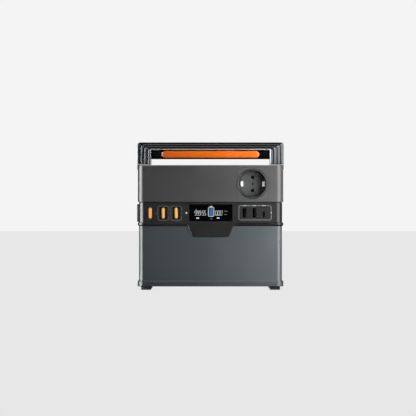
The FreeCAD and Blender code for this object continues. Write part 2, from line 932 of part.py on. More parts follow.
def display():
    """The window plate and the display module behind its ledge."""
    front = -D.band_depth / 2
    ledge = front + D.display_thick
    body = new_body("display_window_body")
    low = (D.display_left, front, D.display_low)
    high = (D.display_right, ledge, D.display_high)
    add_block(body, "y", low, high, D.display_round)
    finished(body, "display_window")
    body = new_body("display_module_body")
    back = front + D.panel_thick
    inset = D.display_ledge + D.play
    low = (D.display_left + inset, ledge, D.display_low + inset)
    high = (D.display_right - inset, back, D.display_high - inset)
    add_block(body, "y", low, high, D.display_round)
    low = (D.display_left + D.module_inset, back, D.window_low + D.play)
    high = (D.display_right - D.module_inset, back + D.module_deep, D.display_high - D.play)
    add_block(body, "y", low, high, D.display_round)
    finished(body, "display_module")


def buttons():
    """Three push buttons: a cap through the panel and a flange behind it."""
    front = -D.band_depth / 2
    flange = front + D.panel_thick + D.play
    cap_front = front - D.button_proud
    width, tall = D.button_width, D.button_tall
    flange_width, flange_tall = width + 2 * D.flange_rim, tall + 2 * D.flange_rim
    for name, x in zip(("button_light", "button_dc", "button_ac"), button_places()):
        body = new_body(name + "_body")
        low, high = upright_slot(x, D.button_level, width, tall, cap_front, flange)
        add_block(body, "y", low, high, round_end(width))
        dress(body, "Fillet", "Radius", D.button_edge, in_plane("y", cap_front))
        back = flange + D.flange_thick
        low, high = upright_slot(x, D.button_level, flange_width, flange_tall, flange, back)
        add_block(body, "y", low, high, D.flange_round)
        finished(body, name)


def switches():
    """The board behind the buttons, its three tact switches and the status light."""
    front = -D.band_depth / 2
    button_back = front + D.panel_thick + D.play + D.flange_thick
    plunger_front = button_back + D.button_travel + D.switch_gap
    board_front = plunger_front + D.switch_deep
    low = (-D.window_half + D.board_inset, board_front, D.window_low + D.board_inset)
    high = (D.light_x + D.light_board, board_front + D.board_thick, D.window_high - D.board_inset)
    finished(box("switch_board_plate", low, high), "switch_board")
    parts = []
    for i, x in enumerate(button_places()):
        low = (x - D.switch_half, plunger_front + D.plunger_long, D.button_level - D.switch_half)
        high = (x + D.switch_half, board_front, D.button_level + D.switch_half)
        base = (x, plunger_front, D.button_level)
        plunger = rod(f"plunger{i}", "y", base, D.plunger_radius, D.plunger_long)
        parts.append(fuse(f"tact_switch{i}", [box(f"tact_body{i}", low, high), plunger]))
    finished(group("tact_switch_group", parts), "tact_switches")
    tip = front - D.light_proud
    light = rod("light_pipe", "y", (D.light_x, tip, D.light_level), D.light_bore, board_front - tip)
    finished(light, "status_light")


def usb_sockets():
    """Two upright type A sockets and one type C socket on a board."""
    front = -D.band_depth / 2
    board = front + D.usb_depth
    tongue_front = front + D.tongue_back
    shells, tongues = [], []
    for i, x in enumerate(usb_places()):
        body = new_body(f"usb_a_shell_body{i}")
        width, tall = D.usb_opening + 2 * D.usb_sheet, D.usb_tall + 2 * D.usb_sheet
        low, high = upright_slot(x, D.usb_level, width, tall, front, board)
        add_block(body, "y", low, high, D.usb_outer_round)
        low, high = upright_slot(x, D.usb_level, D.usb_opening, D.usb_tall, front, board - D.usb_back)
        cut_block(body, "y", low, high, D.usb_inner_round)
        shells.append(body)
        tongue_x = x + D.tongue_offset
        low = (tongue_x - D.tongue_half, tongue_front, D.usb_level - D.tongue_half_tall)
        high = (tongue_x + D.tongue_half, board - D.usb_back, D.usb_level + D.tongue_half_tall)
        tongues.append(box(f"usb_a_tongue{i}", low, high))
    finished(group("usb_a_shell_group", shells), "usb_a_shells")
    finished(group("usb_a_tongue_group", tongues), "usb_a_tongues")
    body = new_body("usb_c_shell_body")
    width, tall = D.usbc_opening + 2 * D.usb_sheet, D.usbc_tall + 2 * D.usb_sheet
    low, high = upright_slot(D.usbc_x, D.usbc_level, width, tall, front, board)
    add_block(body, "y", low, high, round_end(width))
    chamber_back = front + D.usbc_deep
    low, high = upright_slot(D.usbc_x, D.usbc_level, D.usbc_opening, D.usbc_tall, front, chamber_back)
    cut_block(body, "y", low, high, round_end(D.usbc_opening))
    finished(body, "usb_c_shell")
    low = (D.usbc_x - D.usbc_tongue_half, tongue_front, D.usbc_level - D.usbc_tongue_half_tall)
    high = (D.usbc_x + D.usbc_tongue_half, chamber_back, D.usbc_level + D.usbc_tongue_half_tall)
    finished(box("usb_c_tongue_plate", low, high), "usb_c_tongue")
    low = (D.usb_board_left, board, D.window_low + D.board_inset)
    high = (D.usb_board_right, board + D.board_thick, D.window_high - D.board_inset)
    finished(box("usb_board_plate", low, high), "usb_board")


# ---------------------------------------------------------------------------
# Port bay on the left side
# ---------------------------------------------------------------------------

def jack_places():
    return [D.jack_first + D.jack_pitch * i for i in range(2)]


def port_bay():
    """The recessed port plate, the 12 V car socket and two barrel jacks."""
    outer = -D.band_width / 2 + D.wall
    floor = outer + D.bay_deep
    back = floor + D.bay_thick
    body = new_body("port_plate_body")
    low = (outer, D.bay_front, D.bay_level - D.bay_half)
    high = (back, D.bay_back, D.bay_level + D.bay_half)
    add_block(body, "x", low, high, D.bay_round)
    low, high = bay_opening(outer, floor, 0)
    cut_block(body, "x", low, high, D.bay_round - D.bay_rim)
    sleeve = D.car_bore + D.car_sheet
    cut_rods(body, "x", [(D.car_y, D.bay_level)], sleeve, floor, back)
    cut_rods(body, "x", [(y, D.bay_level) for y in jack_places()], D.jack_sleeve, floor, back)
    finished(body, "port_plate")
    body = new_body("car_socket_body")
    start = floor - D.car_proud
    end = start + D.car_depth
    contact_start = end - D.car_contact_long
    add_rods(body, "x", [(D.car_y, D.bay_level)], sleeve, start, end + D.car_cap)
    cut_rods(body, "x", [(D.car_y, D.bay_level)], D.car_bore, start, contact_start)
    cut_rods(body, "x", [(D.car_y, D.bay_level)], D.car_chamber, contact_start, end)
    finished(body, "car_socket")
    base = (contact_start, D.car_y, D.bay_level)
    finished(rod("car_contact_rod", "x", base, D.car_contact, D.car_contact_long), "car_socket_contact")
    jacks, pins = [], []
    mouth = floor - D.jack_proud
    for i, y in enumerate(jack_places()):
        low = (back, y - D.jack_half_wide, D.bay_level - D.jack_half_tall)
        high = (back + D.jack_block, y + D.jack_half_wide, D.bay_level + D.jack_half_tall)
        sleeve_rod = rod(f"jack_sleeve{i}", "x", (mouth, y, D.bay_level), D.jack_sleeve, back - mouth)
        solid = fuse(f"jack_solid{i}", [box(f"jack_block{i}", low, high), sleeve_rod])
        bore = rod(f"jack_bore{i}", "x", (mouth, y, D.bay_level), D.jack_bore, D.jack_deep)
        jacks.append(cut(f"jack{i}", solid, bore))
        base = (mouth + D.jack_pin_back, y, D.bay_level)
        pins.append(rod(f"jack_pin{i}", "x", base, D.jack_pin, D.jack_deep - D.jack_pin_back))
    finished(group("dc_jack_group", jacks), "dc_jacks")
    finished(group("dc_jack_pin_group", pins), "dc_jack_pins")


def port_cover():
    """The cover of the port bay with two hinge knuckles, and the pin through them and the lug."""
    body = new_body("port_cover_body")
    inner = -D.band_width / 2 - D.cover_gap
    outer = D.hinge_x - D.cover_out
    low = (outer, D.cover_front, D.cover_low)
    high = (inner, D.cover_end, D.cover_high)
    add_block(body, "x", low, high, D.bay_round)
    dress(body, "Fillet", "Radius", D.cover_edge, in_plane("x", outer))
    seal_back = inner + D.seal_deep
    low = (inner, D.bay_front + D.seal_front, D.bay_level - D.seal_half)
    high = (seal_back, D.bay_back - D.seal_back, D.bay_level + D.seal_half)
    add_block(body, "x", low, high, D.seal_thick)
    low = (inner, low[1] + D.seal_thick, low[2] + D.seal_thick)
    high = (seal_back, high[1] - D.seal_thick, high[2] - D.seal_thick)
    cut_block(body, "x", low, high, D.seal_thick / 2)
    low = (outer, D.cover_front, D.notch_level - D.notch_tall / 2)
    high = (outer + D.notch_deep, D.cover_front + D.notch_long, D.notch_level + D.notch_tall / 2)
    cut_block(body, "x", low, high)
    lower, lug, upper = hinge_levels()
    for begin, end in (lower, upper):
        leaf_low = (D.hinge_x - D.leaf_out, D.cover_end - D.leaf_root, begin)
        leaf_high = (D.hinge_x + D.leaf_in, D.hinge_y, end)
        add_block(body, "z", leaf_low, leaf_high)
        add_rods(body, "z", [(D.hinge_x, D.hinge_y)], D.hinge_round, begin, end)
    cut_rods(body, "z", [(D.hinge_x, D.hinge_y)], D.hinge_pin + D.hinge_play, lower[0], upper[1])
    finished(body, "port_cover")
    length = upper[1] - lower[0]
    pin = rod("hinge_pin_rod", "z", (D.hinge_x, D.hinge_y, lower[0]), D.hinge_pin, length)
    finished(pin, "cover_hinge_pin")


# ---------------------------------------------------------------------------
# Upper housing, top cover and handle
# ---------------------------------------------------------------------------

def fan_opening(begin, end):
    """The two corners of the square recess for the fan grille."""
    reach = D.fan_size / 2 + D.grille_margin
    return (begin, -reach, D.fan_level - reach), (end, reach, D.fan_level + reach)


def intake_opening(begin, end, rim):
    """The two corners of the recess for the intake grille, or of the hole inside its rim."""
    half = D.fan_size / 2 - rim
    return (
        (begin, -half - D.intake_extra, D.fan_level - half),
        (end, half + D.intake_extra, D.fan_level + half),
    )


def upper_housing():
    """Four walls with the openings for the mains socket, the fan, the intake and the lamp."""
    body = new_body("upper_housing_body")
    low, high = centred(D.case_width, D.case_depth, D.band_top, D.cover_top)
    add_block(body, "z", low, high, D.corner)
    dress(body, "Chamfer", "Size", D.housing_low_edge, in_plane("z", D.band_top))
    dress(body, "Chamfer", "Size", D.housing_top_edge, in_plane("z", D.cover_top))
    inner_width, inner_depth = D.case_width - 2 * D.wall, D.case_depth - 2 * D.wall
    low, high = centred(inner_width, inner_depth, D.band_top, D.ledge_low)
    cut_block(body, "z", low, high, D.corner - D.wall)
    ledge_width, ledge_depth = inner_width - 2 * D.ledge_wide, inner_depth - 2 * D.ledge_wide
    low, high = centred(ledge_width, ledge_depth, D.ledge_low, D.cover_top - D.wall)
    cut_block(body, "z", low, high, D.corner - D.wall - D.ledge_wide)
    low, high = centred(inner_width, inner_depth, D.cover_top - D.wall, D.cover_top)
    cut_block(body, "z", low, high, D.corner - D.wall)
    front = -D.case_depth / 2
    half = D.socket_plate / 2
    plate_back = front + D.plate_thick
    low = (D.socket_x - half, front, D.socket_level - half)
    high = (D.socket_x + half, plate_back, D.socket_level + half)
    cut_block(body, "y", low, high, D.plate_round)
    centre = [(D.socket_x, D.socket_level)]
    cut_rods(body, "y", centre, D.socket_bore + D.cup_wall, plate_back, front + D.wall)
    rear = D.case_depth / 2
    low = (-D.lamp_half, rear - D.wall, D.lamp_level - D.lamp_tall / 2)
    high = (D.lamp_half, rear, D.lamp_level + D.lamp_tall / 2)
    cut_block(body, "y", low, high, D.lamp_round)
    side = D.case_width / 2
    recess = side - D.grille_thick
    cut_block(body, "x", *fan_opening(recess, side), D.grille_round)
    cut_rods(body, "x", [(0, D.fan_level)], D.fan_radius + D.fan_duct, side - D.wall, recess)
    cut_block(body, "x", *intake_opening(-side, -recess, 0), D.grille_round)
    cut_block(body, "x", *intake_opening(-recess, D.wall - side, D.intake_rim), D.grille_round - 1)
    return finished(body, "upper_housing")


def top_cover():
    """The lid inside the housing's rim, with a recess that gives the fingers room under the grip."""
    body = new_body("top_cover_body")
    inner_width, inner_depth = D.case_width - 2 * D.wall, D.case_depth - 2 * D.wall
    low, high = centred(inner_width, inner_depth, D.cover_top - D.wall, D.cover_top)
    add_block(body, "z", low, high, D.corner - D.wall)
    outer_x, outer_y = D.recess_half + D.wall, D.recess_half_depth + D.wall
    low = (-outer_x, -outer_y, D.recess_floor - D.wall)
    high = (outer_x, outer_y, D.cover_top - D.wall)
    add_block(body, "z", low, high, D.recess_round)
    low = (-D.recess_half, -D.recess_half_depth, D.recess_floor)
    high = (D.recess_half, D.recess_half_depth, D.cover_top)
    cut_block(body, "z", low, high, D.recess_round - D.wall)
    cut_rods(body, "z", handle_screw_places(), D.handle_screw_hole, D.cover_top - D.wall, D.cover_top)
    return finished(body, "top_cover")


def handle_screw_places():
    leg = D.handle_half - leg_width() / 2
    return [(side * leg, end * D.handle_hole_y) for side in (-1, 1) for end in (-1, 1)]


def leg_width():
    return 4 * D.rib_leg + 3 * D.groove_leg


def rib_depth(i):
    """How far the rib stands out to the front and to the rear of the middle."""
    return D.rib_first_depth + D.rib_step * i


def handle_frame():
    """Nested arches that step back outward, with grooves between, soles and side skirts."""
    body = new_body("handle_frame_body")
    for i in range(4):
        half = D.handle_half - (D.rib_leg + D.groove_leg) * i
        top = D.handle_top - (D.rib_bar + D.groove_bar) * i
        depth = rib_depth(i)
        add_arch(body, half, top, D.rib_leg, D.rib_bar, depth, i < 3)
        dress(body, "Chamfer", "Size", D.rib_edge, rib_edges(depth))
        if i < 3:
            inner_half = half - D.rib_leg
            inner_top = top - D.rib_bar
            add_arch(body, inner_half, inner_top, D.groove_leg, D.groove_bar, depth - D.groove_deep, True)
    reach = rib_depth(3) + D.sole_slope
    sole_top = D.cover_top + D.sole_tall
    step = sole_top - D.sole_slope
    for side in (-1, 1):
        inner, outer = ordered(side * (D.handle_half - leg_width()), side * D.handle_half)
        sketch = new_sketch(body, "x", inner)
        draw_polygon(sketch, [
            (-reach, D.cover_top), (reach, D.cover_top), (reach, step),
            (reach - D.sole_slope, sole_top), (D.sole_slope - reach, sole_top), (-reach, step),
        ])
        extrude(body, sketch, "Pad", outer - inner)
        inner, outer = ordered(side * D.case_width / 2, side * D.handle_half)
        skirt_depth = D.rib_first_depth + D.skirt_extra
        low = (inner, -skirt_depth, D.cover_top - D.skirt_tall)
        high = (outer, skirt_depth, sole_top)
        add_block(body, "x", low, high, D.skirt_round)
    places = handle_screw_places()
    cut_rods(body, "z", places, D.handle_screw, D.cover_top, D.cover_top + D.handle_hole_deep)
    return finished(body, "handle_frame")


def ordered(first, second):
    """Two sizes, the smaller first."""
    first, second = Term.of(first), Term.of(second)
    return (first, second) if first.value < second.value else (second, first)


def add_arch(body, half, top, leg, bar, depth, inner_rounded):
    """An upside-down U: two legs and the bar that joins them, with rounded upper corners."""
    sketch = new_sketch(body, "y", depth)
    inner, under = half - leg, top - bar
    points = [
        (-half, D.cover_top), (-half, top), (half, top), (half, D.cover_top),
        (inner, D.cover_top), (inner, under), (-inner, under), (-inner, D.cover_top),
    ]
    draw_square_outline(sketch, points, D.rib_round, (1, 2, 5, 6) if inner_rounded else (1, 2))
    extrude(body, sketch, "Pad", depth * 2)


def rib_edges(depth):
    """A test for the edges round a rib's front and rear faces, but not those at its foot."""
    tests = in_plane("y", depth), in_plane("y", -depth)
    foot = D.cover_top.value + NEAR
    return lambda edge: edge.BoundBox.ZMax > foot and any(test(edge) for test in tests)


def handle_screws():
    screws = []
    under = D.cover_top - D.wall
    length = D.wall + D.handle_hole_deep
    for i, (x, y) in enumerate(handle_screw_places()):
        head_low = under - D.handle_head_thick
        head = rod(f"handle_screw_head{i}", "z", (x, y, head_low), D.handle_screw_head, D.handle_head_thick)
        shank = rod(f"handle_screw_shank{i}", "z", (x, y, under), D.handle_screw, length)
        screws.append(fuse(f"handle_screw{i}", [head, shank]))
    return finished(group("handle_screw_group", screws), "handle_screws")


def grip():
    """The grip core between the legs and the two soft inserts in its faces."""
    half = D.handle_half - leg_width()
    depth = D.grip_half_depth
    body = new_body("grip_core_body")
    add_block(body, "x", (-half, -depth, D.grip_bottom), (half, depth, D.grip_top), D.grip_round)
    level = (D.grip_bottom + D.grip_top) / 2
    low_level, high_level = level - D.insert_tall / 2, level + D.insert_tall / 2
    radius = round_end(D.insert_tall)
    seats = ((-depth, D.insert_sunk - depth), (depth - D.insert_sunk, depth))
    for begin, end in seats:
        low = (-D.insert_half, begin, low_level)
        cut_block(body, "y", low, (D.insert_half, end, high_level), radius)
    finished(body, "grip_core")
    spans = {
        "grip_insert_front": (-depth - D.insert_proud, D.insert_sunk - depth),
        "grip_insert_rear": (depth - D.insert_sunk, depth + D.insert_proud),
    }
    for name, (begin, end) in spans.items():
        body = new_body(name + "_body")
        low = (-D.insert_half, begin, low_level)
        add_block(body, "y", low, (D.insert_half, end, high_level), radius)
        face = begin if name == "grip_insert_front" else end
        dress(body, "Fillet", "Radius", D.insert_edge, in_plane("y", face))
        finished(body, name)


# ---------------------------------------------------------------------------
# Mains socket
# ---------------------------------------------------------------------------

def socket_levels():
    """The Y levels of the socket: its plate's back, ring front, cup floor and the floor's back."""
    front = -D.case_depth / 2
    ring_front = front - D.socket_proud
    floor = ring_front + D.socket_deep
    return front + D.plate_thick, ring_front, floor, floor + D.cup_floor


def mains_socket():
    """The square bezel with its ring, the cup with pin holes and guide ribs, and the earth clips."""
    x, z = D.socket_x, D.socket_level
    plate_back, ring_front, floor, floor_back = socket_levels()
    body = new_body("socket_bezel_body")
    half = D.socket_plate / 2 - D.plate_gap
    low = (x - half, -D.case_depth / 2, z - half)
    add_block(body, "y", low, (x + half, plate_back, z + half), D.plate_round - D.plate_gap)
    add_rods(body, "y", [(x, z)], D.socket_ring, ring_front, plate_back)
    dress(body, "Fillet", "Radius", D.socket_edge, in_plane("y", ring_front))
    cut_rods(body, "y", [(x, z)], D.socket_bore, ring_front, plate_back)
    finished(body, "socket_bezel")
    body = new_body("socket_cup_body")
    add_rods(body, "y", [(x, z)], D.socket_bore + D.cup_wall, plate_back, floor_back)
    cut_rods(body, "y", [(x, z)], D.socket_bore, plate_back, floor)
    cut_rods(body, "y", [(x, z - D.pin_half), (x, z + D.pin_half)], D.pin_bore, floor, floor_back)
    cut_rods(body, "y", [(x, z)], D.centre_hole, floor, floor_back)
    for side in (-1, 1):
        tip = z + side * (D.socket_bore - D.guide_tall)
        level = ordered(tip, z + side * (D.socket_bore + D.guide_root))
        low = (x - D.guide_half, plate_back + D.guide_back, level[0])
        add_block(body, "y", low, (x + D.guide_half, floor, level[1]))
    finished(body, "socket_cup")
    clips = []
    mouth = floor - D.clip_long
    for i, side in enumerate((-1, 1)):
        outer = x + side * D.clip_out
        spans = {
            "upright": (x + side * (D.clip_out - D.clip_thick), mouth, floor),
            "sole": (x + side * D.clip_sole, floor - D.clip_sole_thick, floor),
            "nose": (x + side * D.clip_nose, mouth, mouth + D.clip_thick),
        }
        blades = []
        for name, (inner, begin, end) in spans.items():
            left, right = ordered(inner, outer)
            low = (left, begin, z - D.clip_half)
            blades.append(box(f"clip_{name}{i}", low, (right, end, z + D.clip_half)))
        clips.append(fuse(f"earth_clip{i}", blades))
    finished(group("earth_clip_group", clips), "earth_clips")


def socket_rear():
    """What is behind the cup's floor: the sliding shutter, the pin contacts and the rear cover."""
    x, z = D.socket_x, D.socket_level
    floor_back = socket_levels()[3]
    shutter_front = floor_back + D.shutter_gap
    shutter_back = shutter_front + D.shutter_thick
    contact_front = shutter_back + D.contact_gap
    back_plate = contact_front + D.contact_long
    tubes = []
    for i, side in enumerate((-1, 1)):
        base = (x, contact_front, z + side * D.pin_half)
        tubes.append(tube(f"pin_contact{i}", "y", base, D.contact_outer, D.contact_bore, D.contact_long))
    finished(group("pin_contact_group", tubes), "pin_contacts")
    body = new_body("socket_shutter_body")
    low = (x - D.shutter_left, shutter_front, z - D.shutter_half_tall)
    high = (x + D.shutter_right, shutter_back, z + D.shutter_half_tall)
    add_block(body, "y", low, high, D.shutter_round)
    holes = [(x - D.shutter_travel, z + side * D.pin_half) for side in (-1, 1)]
    cut_rods(body, "y", holes, D.pin_bore + D.play, shutter_front, shutter_back)
    finished(body, "socket_shutter")
    body = new_body("socket_cover_body")
    outer = D.socket_bore + D.cup_wall
    add_rods(body, "y", [(x, z)], outer, floor_back, back_plate + D.socket_cover)
    cut_rods(body, "y", [(x, z)], outer - D.socket_cover, floor_back, back_plate)
    finished(body, "socket_cover")


# ---------------------------------------------------------------------------
# Cooling fan, intake grille and rear lamp
# ---------------------------------------------------------------------------

FAN_SLOTS = 9
INTAKE_SLOTS = 11


def slotted_plate(label, corners, slots, margin):
    """A plate square to X with a row of upright slots."""
    low, high = corners
    body = new_body(label + "_body")
    add_block(body, "x", low, high, D.grille_round)
    first = low[1] + margin
    slot_low = (low[0], first, low[2] + D.grille_end)
    slot_high = (high[0], first + D.grille_pitch / 2, high[2] - D.grille_end)
    slot = cut_block(body, "x", slot_low, slot_high, D.grille_pitch / 5)
    repeat(body, slot, "y", D.grille_pitch, slots)
    return finished(body, label)


def cooling():
    """The fan with its grille on the right, and the intake grille on the left."""
    side = D.case_width / 2
    half = D.fan_size / 2
    recess = side - D.grille_thick
    slotted_plate("fan_grille", fan_opening(recess, side), FAN_SLOTS, D.grille_end)
    margin = D.grille_end + D.grille_margin
    slotted_plate("intake_grille", intake_opening(-side, -recess, 0), INTAKE_SLOTS, margin)
    fan_back = side - D.wall
    fan_front = fan_back - D.fan_thick
    strut_back = fan_front + D.strut_thick
    body = new_body("fan_frame_body")
    low = (fan_front, -half, D.fan_level - half)
    high = (fan_back, half, D.fan_level + half)
    add_block(body, "x", low, high, D.fan_round)
    cut_rods(body, "x", [(0, D.fan_level)], D.fan_radius + D.fan_gap, fan_front, fan_back)
    add_rods(body, "x", [(0, D.fan_level)], D.strut_hub, fan_front, strut_back)
    reach = D.fan_radius + D.grille_margin
    for along, up in ((reach, D.strut_half), (D.strut_half, reach)):
        low = (fan_front, -along, D.fan_level - up)
        add_block(body, "x", low, (strut_back, along, D.fan_level + up))
    finished(body, "fan_frame")
    fan_rotor(fan_front + D.fan_front_gap, fan_back - D.fan_gap)


def fan_rotor(begin, end):
    """A hub with seven pitched blades, trimmed to the round space that the rotor sweeps."""
    length = end.value - begin.value
    radius, hub_radius = D.fan_radius.value, D.fan_hub.value
    root, thick = D.fan_root.value, D.fan_blade.value
    blades, pitch = 7, 42
    solid = Part.makeCylinder(hub_radius, length, Vector(begin.value, 0, 0), Vector(1, 0, 0))
    middle = begin.value + length / 2
    for i in range(blades):
        span = radius - hub_radius + 2 * root
        blade = Part.makeBox(length * 2, span, thick, Vector(-length, hub_radius - root, -thick / 2))
        blade.rotate(Vector(), Vector(0, 1, 0), pitch)
        blade.translate(Vector(middle, 0, 0))
        blade.rotate(Vector(), Vector(1, 0, 0), 360 / blades * i)
        solid = solid.fuse(blade)
    swept = Part.makeCylinder(radius, length, Vector(begin.value, 0, 0), Vector(1, 0, 0))
    rotor = doc.addObject("Part::Feature", "fan_rotor_solid")
    rotor.Shape = solid.common(swept)
    rotor.Placement = FreeCAD.Placement(Vector(0, 0, D.fan_level.value), Rotation())
    return finished(rotor, "fan_rotor")


def rear_lamp():
    """A flat lamp lens in the rear wall and its board with ten emitters."""
    rear = D.case_depth / 2
    inside = rear - D.wall
    half_tall = D.lamp_tall / 2
    body = new_body("lamp_lens_body")
    low = (-D.lamp_half, inside, D.lamp_level - half_tall)
    high = (D.lamp_half, rear + D.lens_proud, D.lamp_level + half_tall)
    add_block(body, "y", low, high, D.lamp_round)
    low = (D.lens_rim - D.lamp_half, inside, low[2] + D.lens_rim)
    high = (D.lamp_half - D.lens_rim, rear - D.lens_thick, high[2] - D.lens_rim)
    cut_block(body, "y", low, high, D.lamp_round - D.lens_rim)
    finished(body, "lamp_lens")
    edge = D.lens_rim / 2
    plate = box(
        "lamp_plate",
        (edge - D.lamp_half, inside - D.board_thick, D.lamp_level - D.lamp_board_half),
        (D.lamp_half - edge, inside, D.lamp_level + D.lamp_board_half),
    )
    emitters = []
    for i in range(10):
        x = D.emitter_pitch * (i - 4.5)
        low = (x - D.emitter_half, inside, D.lamp_level - D.emitter_half)
        high = (x + D.emitter_half, inside + D.emitter_tall, D.lamp_level + D.emitter_half)
        emitters.append(box(f"lamp_emitter{i}", low, high))
    return finished(fuse("lamp_board_solid", [plate] + emitters), "lamp_board")


# ---------------------------------------------------------------------------
# Battery and power electronics
# ---------------------------------------------------------------------------

CELL_ROWS = 4
CELL_COLUMNS = 8


def cell_places():
    """The centres of the battery cells, in four rows of eight."""
    first_column, first_row = (CELL_COLUMNS - 1) / 2, (CELL_ROWS - 1) / 2
    return [
        ((column - first_column) * D.cell_pitch, (line - first_row) * D.cell_pitch)
        for line in range(CELL_ROWS) for column in range(CELL_COLUMNS)
    ]


def battery():
    """The cells, their two holders, the busbars and the battery's own control board."""
    top = D.cell_low + D.cell_tall
    cells = []
    for i, (x, y) in enumerate(cell_places()):
        cells.append(rod(f"cell{i}", "z", (x, y, D.cell_low), D.cell_radius, D.cell_tall))
    finished(group("battery_cell_group", cells), "battery_cells")
    across = D.cell_pitch * CELL_COLUMNS + 2 * D.holder_rim
    along = D.cell_pitch * CELL_ROWS + 2 * D.holder_rim
    spans = {
        "cell_holder_lower": (D.tray_floor, D.cell_low, D.cell_low + D.holder_tall),
        "cell_holder_upper": (top - D.holder_tall, top - D.holder_tall, top),
    }
    for name, (low_level, bore_low, high_level) in spans.items():
        body = new_body(name + "_body")
        low, high = centred(across, along, low_level, high_level)
        add_block(body, "z", low, high, 2 * D.holder_rim)
        cut_rods(body, "z", cell_places(), D.cell_radius, bore_low, high_level)
        finished(body, name)
    strips = []
    board_low = top + D.busbar_thick
    for i in range(CELL_COLUMNS // 2):
        x = (i * 2 - CELL_COLUMNS / 2 + 1) * D.cell_pitch
        low = (x - D.busbar_half, -D.busbar_reach, top)
        strips.append(box(f"busbar{i}", low, (x + D.busbar_half, D.busbar_reach, board_low)))
    finished(group("busbar_group", strips), "busbars")
    board_top = board_low + D.board_thick
    low = (-D.bms_half, -D.bms_half_depth, board_low)
    board = box("bms_plate", low, (D.bms_half, D.bms_half_depth, board_top))
    chips = []
    for i in range(6):
        x = D.chip_first + D.chip_pitch * i
        high = (x + D.chip_wide, D.chip_front + D.chip_deep, board_top + D.chip_tall)
        chips.append(box(f"bms_chip{i}", (x, D.chip_front, board_top), high))
    finished(fuse("bms_solid", [board] + chips), "bms_board")


FIN_COUNT = 11
CAPACITOR_PLACES = ((-46, -22), (-46, 0), (-46, 22), (36, 0), (56, 0))


def electronics():
    """The deck plate over the battery and the inverter that stands on it."""
    deck = D.ring_top + D.deck_thick
    inset = 2 * (D.wall + D.deck_play)
    low, high = centred(D.band_width - inset, D.band_depth - inset, D.ring_top, deck)
    body = new_body("deck_plate_body")
    add_block(body, "z", (low[0], low[1] + D.deck_front_gap, low[2]), high, D.deck_round)
    cut_rods(body, "z", lead_places(), D.lead_hole, low[2], high[2])
    finished(body, "deck_plate")
    board_low = deck + D.post_tall
    top = board_low + D.board_thick
    low = (D.inverter_left, -D.inverter_half, board_low)
    board = box("inverter_plate", low, (D.inverter_right, D.inverter_half, top))
    posts = []
    post_y = D.inverter_half - D.post_inset
    for x in (D.inverter_left + D.post_inset, D.inverter_right - D.post_inset):
        for y in (-post_y, post_y):
            posts.append(rod(f"inverter_post{len(posts)}", "z", (x, y, deck), D.post_radius, D.post_tall))
    finished(fuse("inverter_solid", [board] + posts), "inverter_board")
    low = (D.core_left, -D.core_half, top)
    core = box("transformer_core", low, (D.core_right, D.core_half, top + D.core_tall))
    base = (D.core_left - D.winding_extra, 0, top + D.core_tall / 2)
    length = D.core_right - D.core_left + 2 * D.winding_extra
    winding = rod("transformer_winding", "x", base, D.winding_radius, length)
    finished(fuse("transformer_solid", [core, winding]), "transformer")
    heat_sinks(top)
    cans = []
    for i, (x, y) in enumerate(CAPACITOR_PLACES):
        cans.append(rod(f"capacitor{i}", "z", (x, y, top), D.capacitor_radius, D.capacitor_tall))
    finished(group("capacitor_group", cans), "capacitors")
    busbar_top = D.cell_low + D.cell_tall + D.busbar_thick
    leads = []
    for i, (x, y) in enumerate(lead_places()):
        leads.append(rod(f"battery_lead{i}", "z", (x, y, busbar_top), D.lead_radius, board_low - busbar_top))
    finished(group("battery_lead_group", leads), "battery_leads")


def heat_sinks(base):
    """Two finned heat sinks along the inverter board's edges."""
    sinks = []
    high_level = base + D.sink_tall
    for i, y in enumerate((D.sink_front, D.sink_back)):
        body = new_body(f"heat_sink_body{i}")
        add_block(body, "z", (D.sink_left, y, base), (D.sink_right, y + D.sink_deep, high_level))
        start = D.sink_left + D.sink_web
        low = (start, y + D.sink_web, base)
        fin = cut_block(body, "z", low, (start + D.fin_gap, y + D.sink_deep, high_level))
        repeat(body, fin, "x", D.fin_pitch, FIN_COUNT)
        sinks.append(body)
    finished(group("heat_sink_group", sinks), "heat_sinks")


def lead_places():
    """The plus and the minus lead, which stand on the outer busbars."""
    reach = D.cell_pitch * 3
    return [(-reach, D.lead_y), (reach - D.lead_shift, D.lead_y)]


base_tray()
feet()
foot_screws()
lower_shell()
trim_ring()
mid_frame()
front_panel()
display()
buttons()
switches()
usb_sockets()
port_bay()
port_cover()
upper_housing()
top_cover()
handle_frame()
handle_screws()
grip()
mains_socket()
socket_rear()
cooling()
rear_lamp()
battery()
electronics()
doc.recompute()

for item in doc.Objects:
    if "Invalid" in item.State or "Error" in item.State:
        raise RuntimeError(f"{item.Label} did not compute: {item.State}")

os.makedirs("parts", exist_ok=True)
for label, item in pieces.items():
    if item.Shape.isNull() or not item.Shape.isValid():
        raise RuntimeError(f"{label} has no valid shape")
    item.Shape.exportStep(f"parts/{label}.step")
    print(f"{label}: {len(item.Shape.Solids)} solids, {item.Shape.Volume:.0f} mm3")
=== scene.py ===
import json
import math

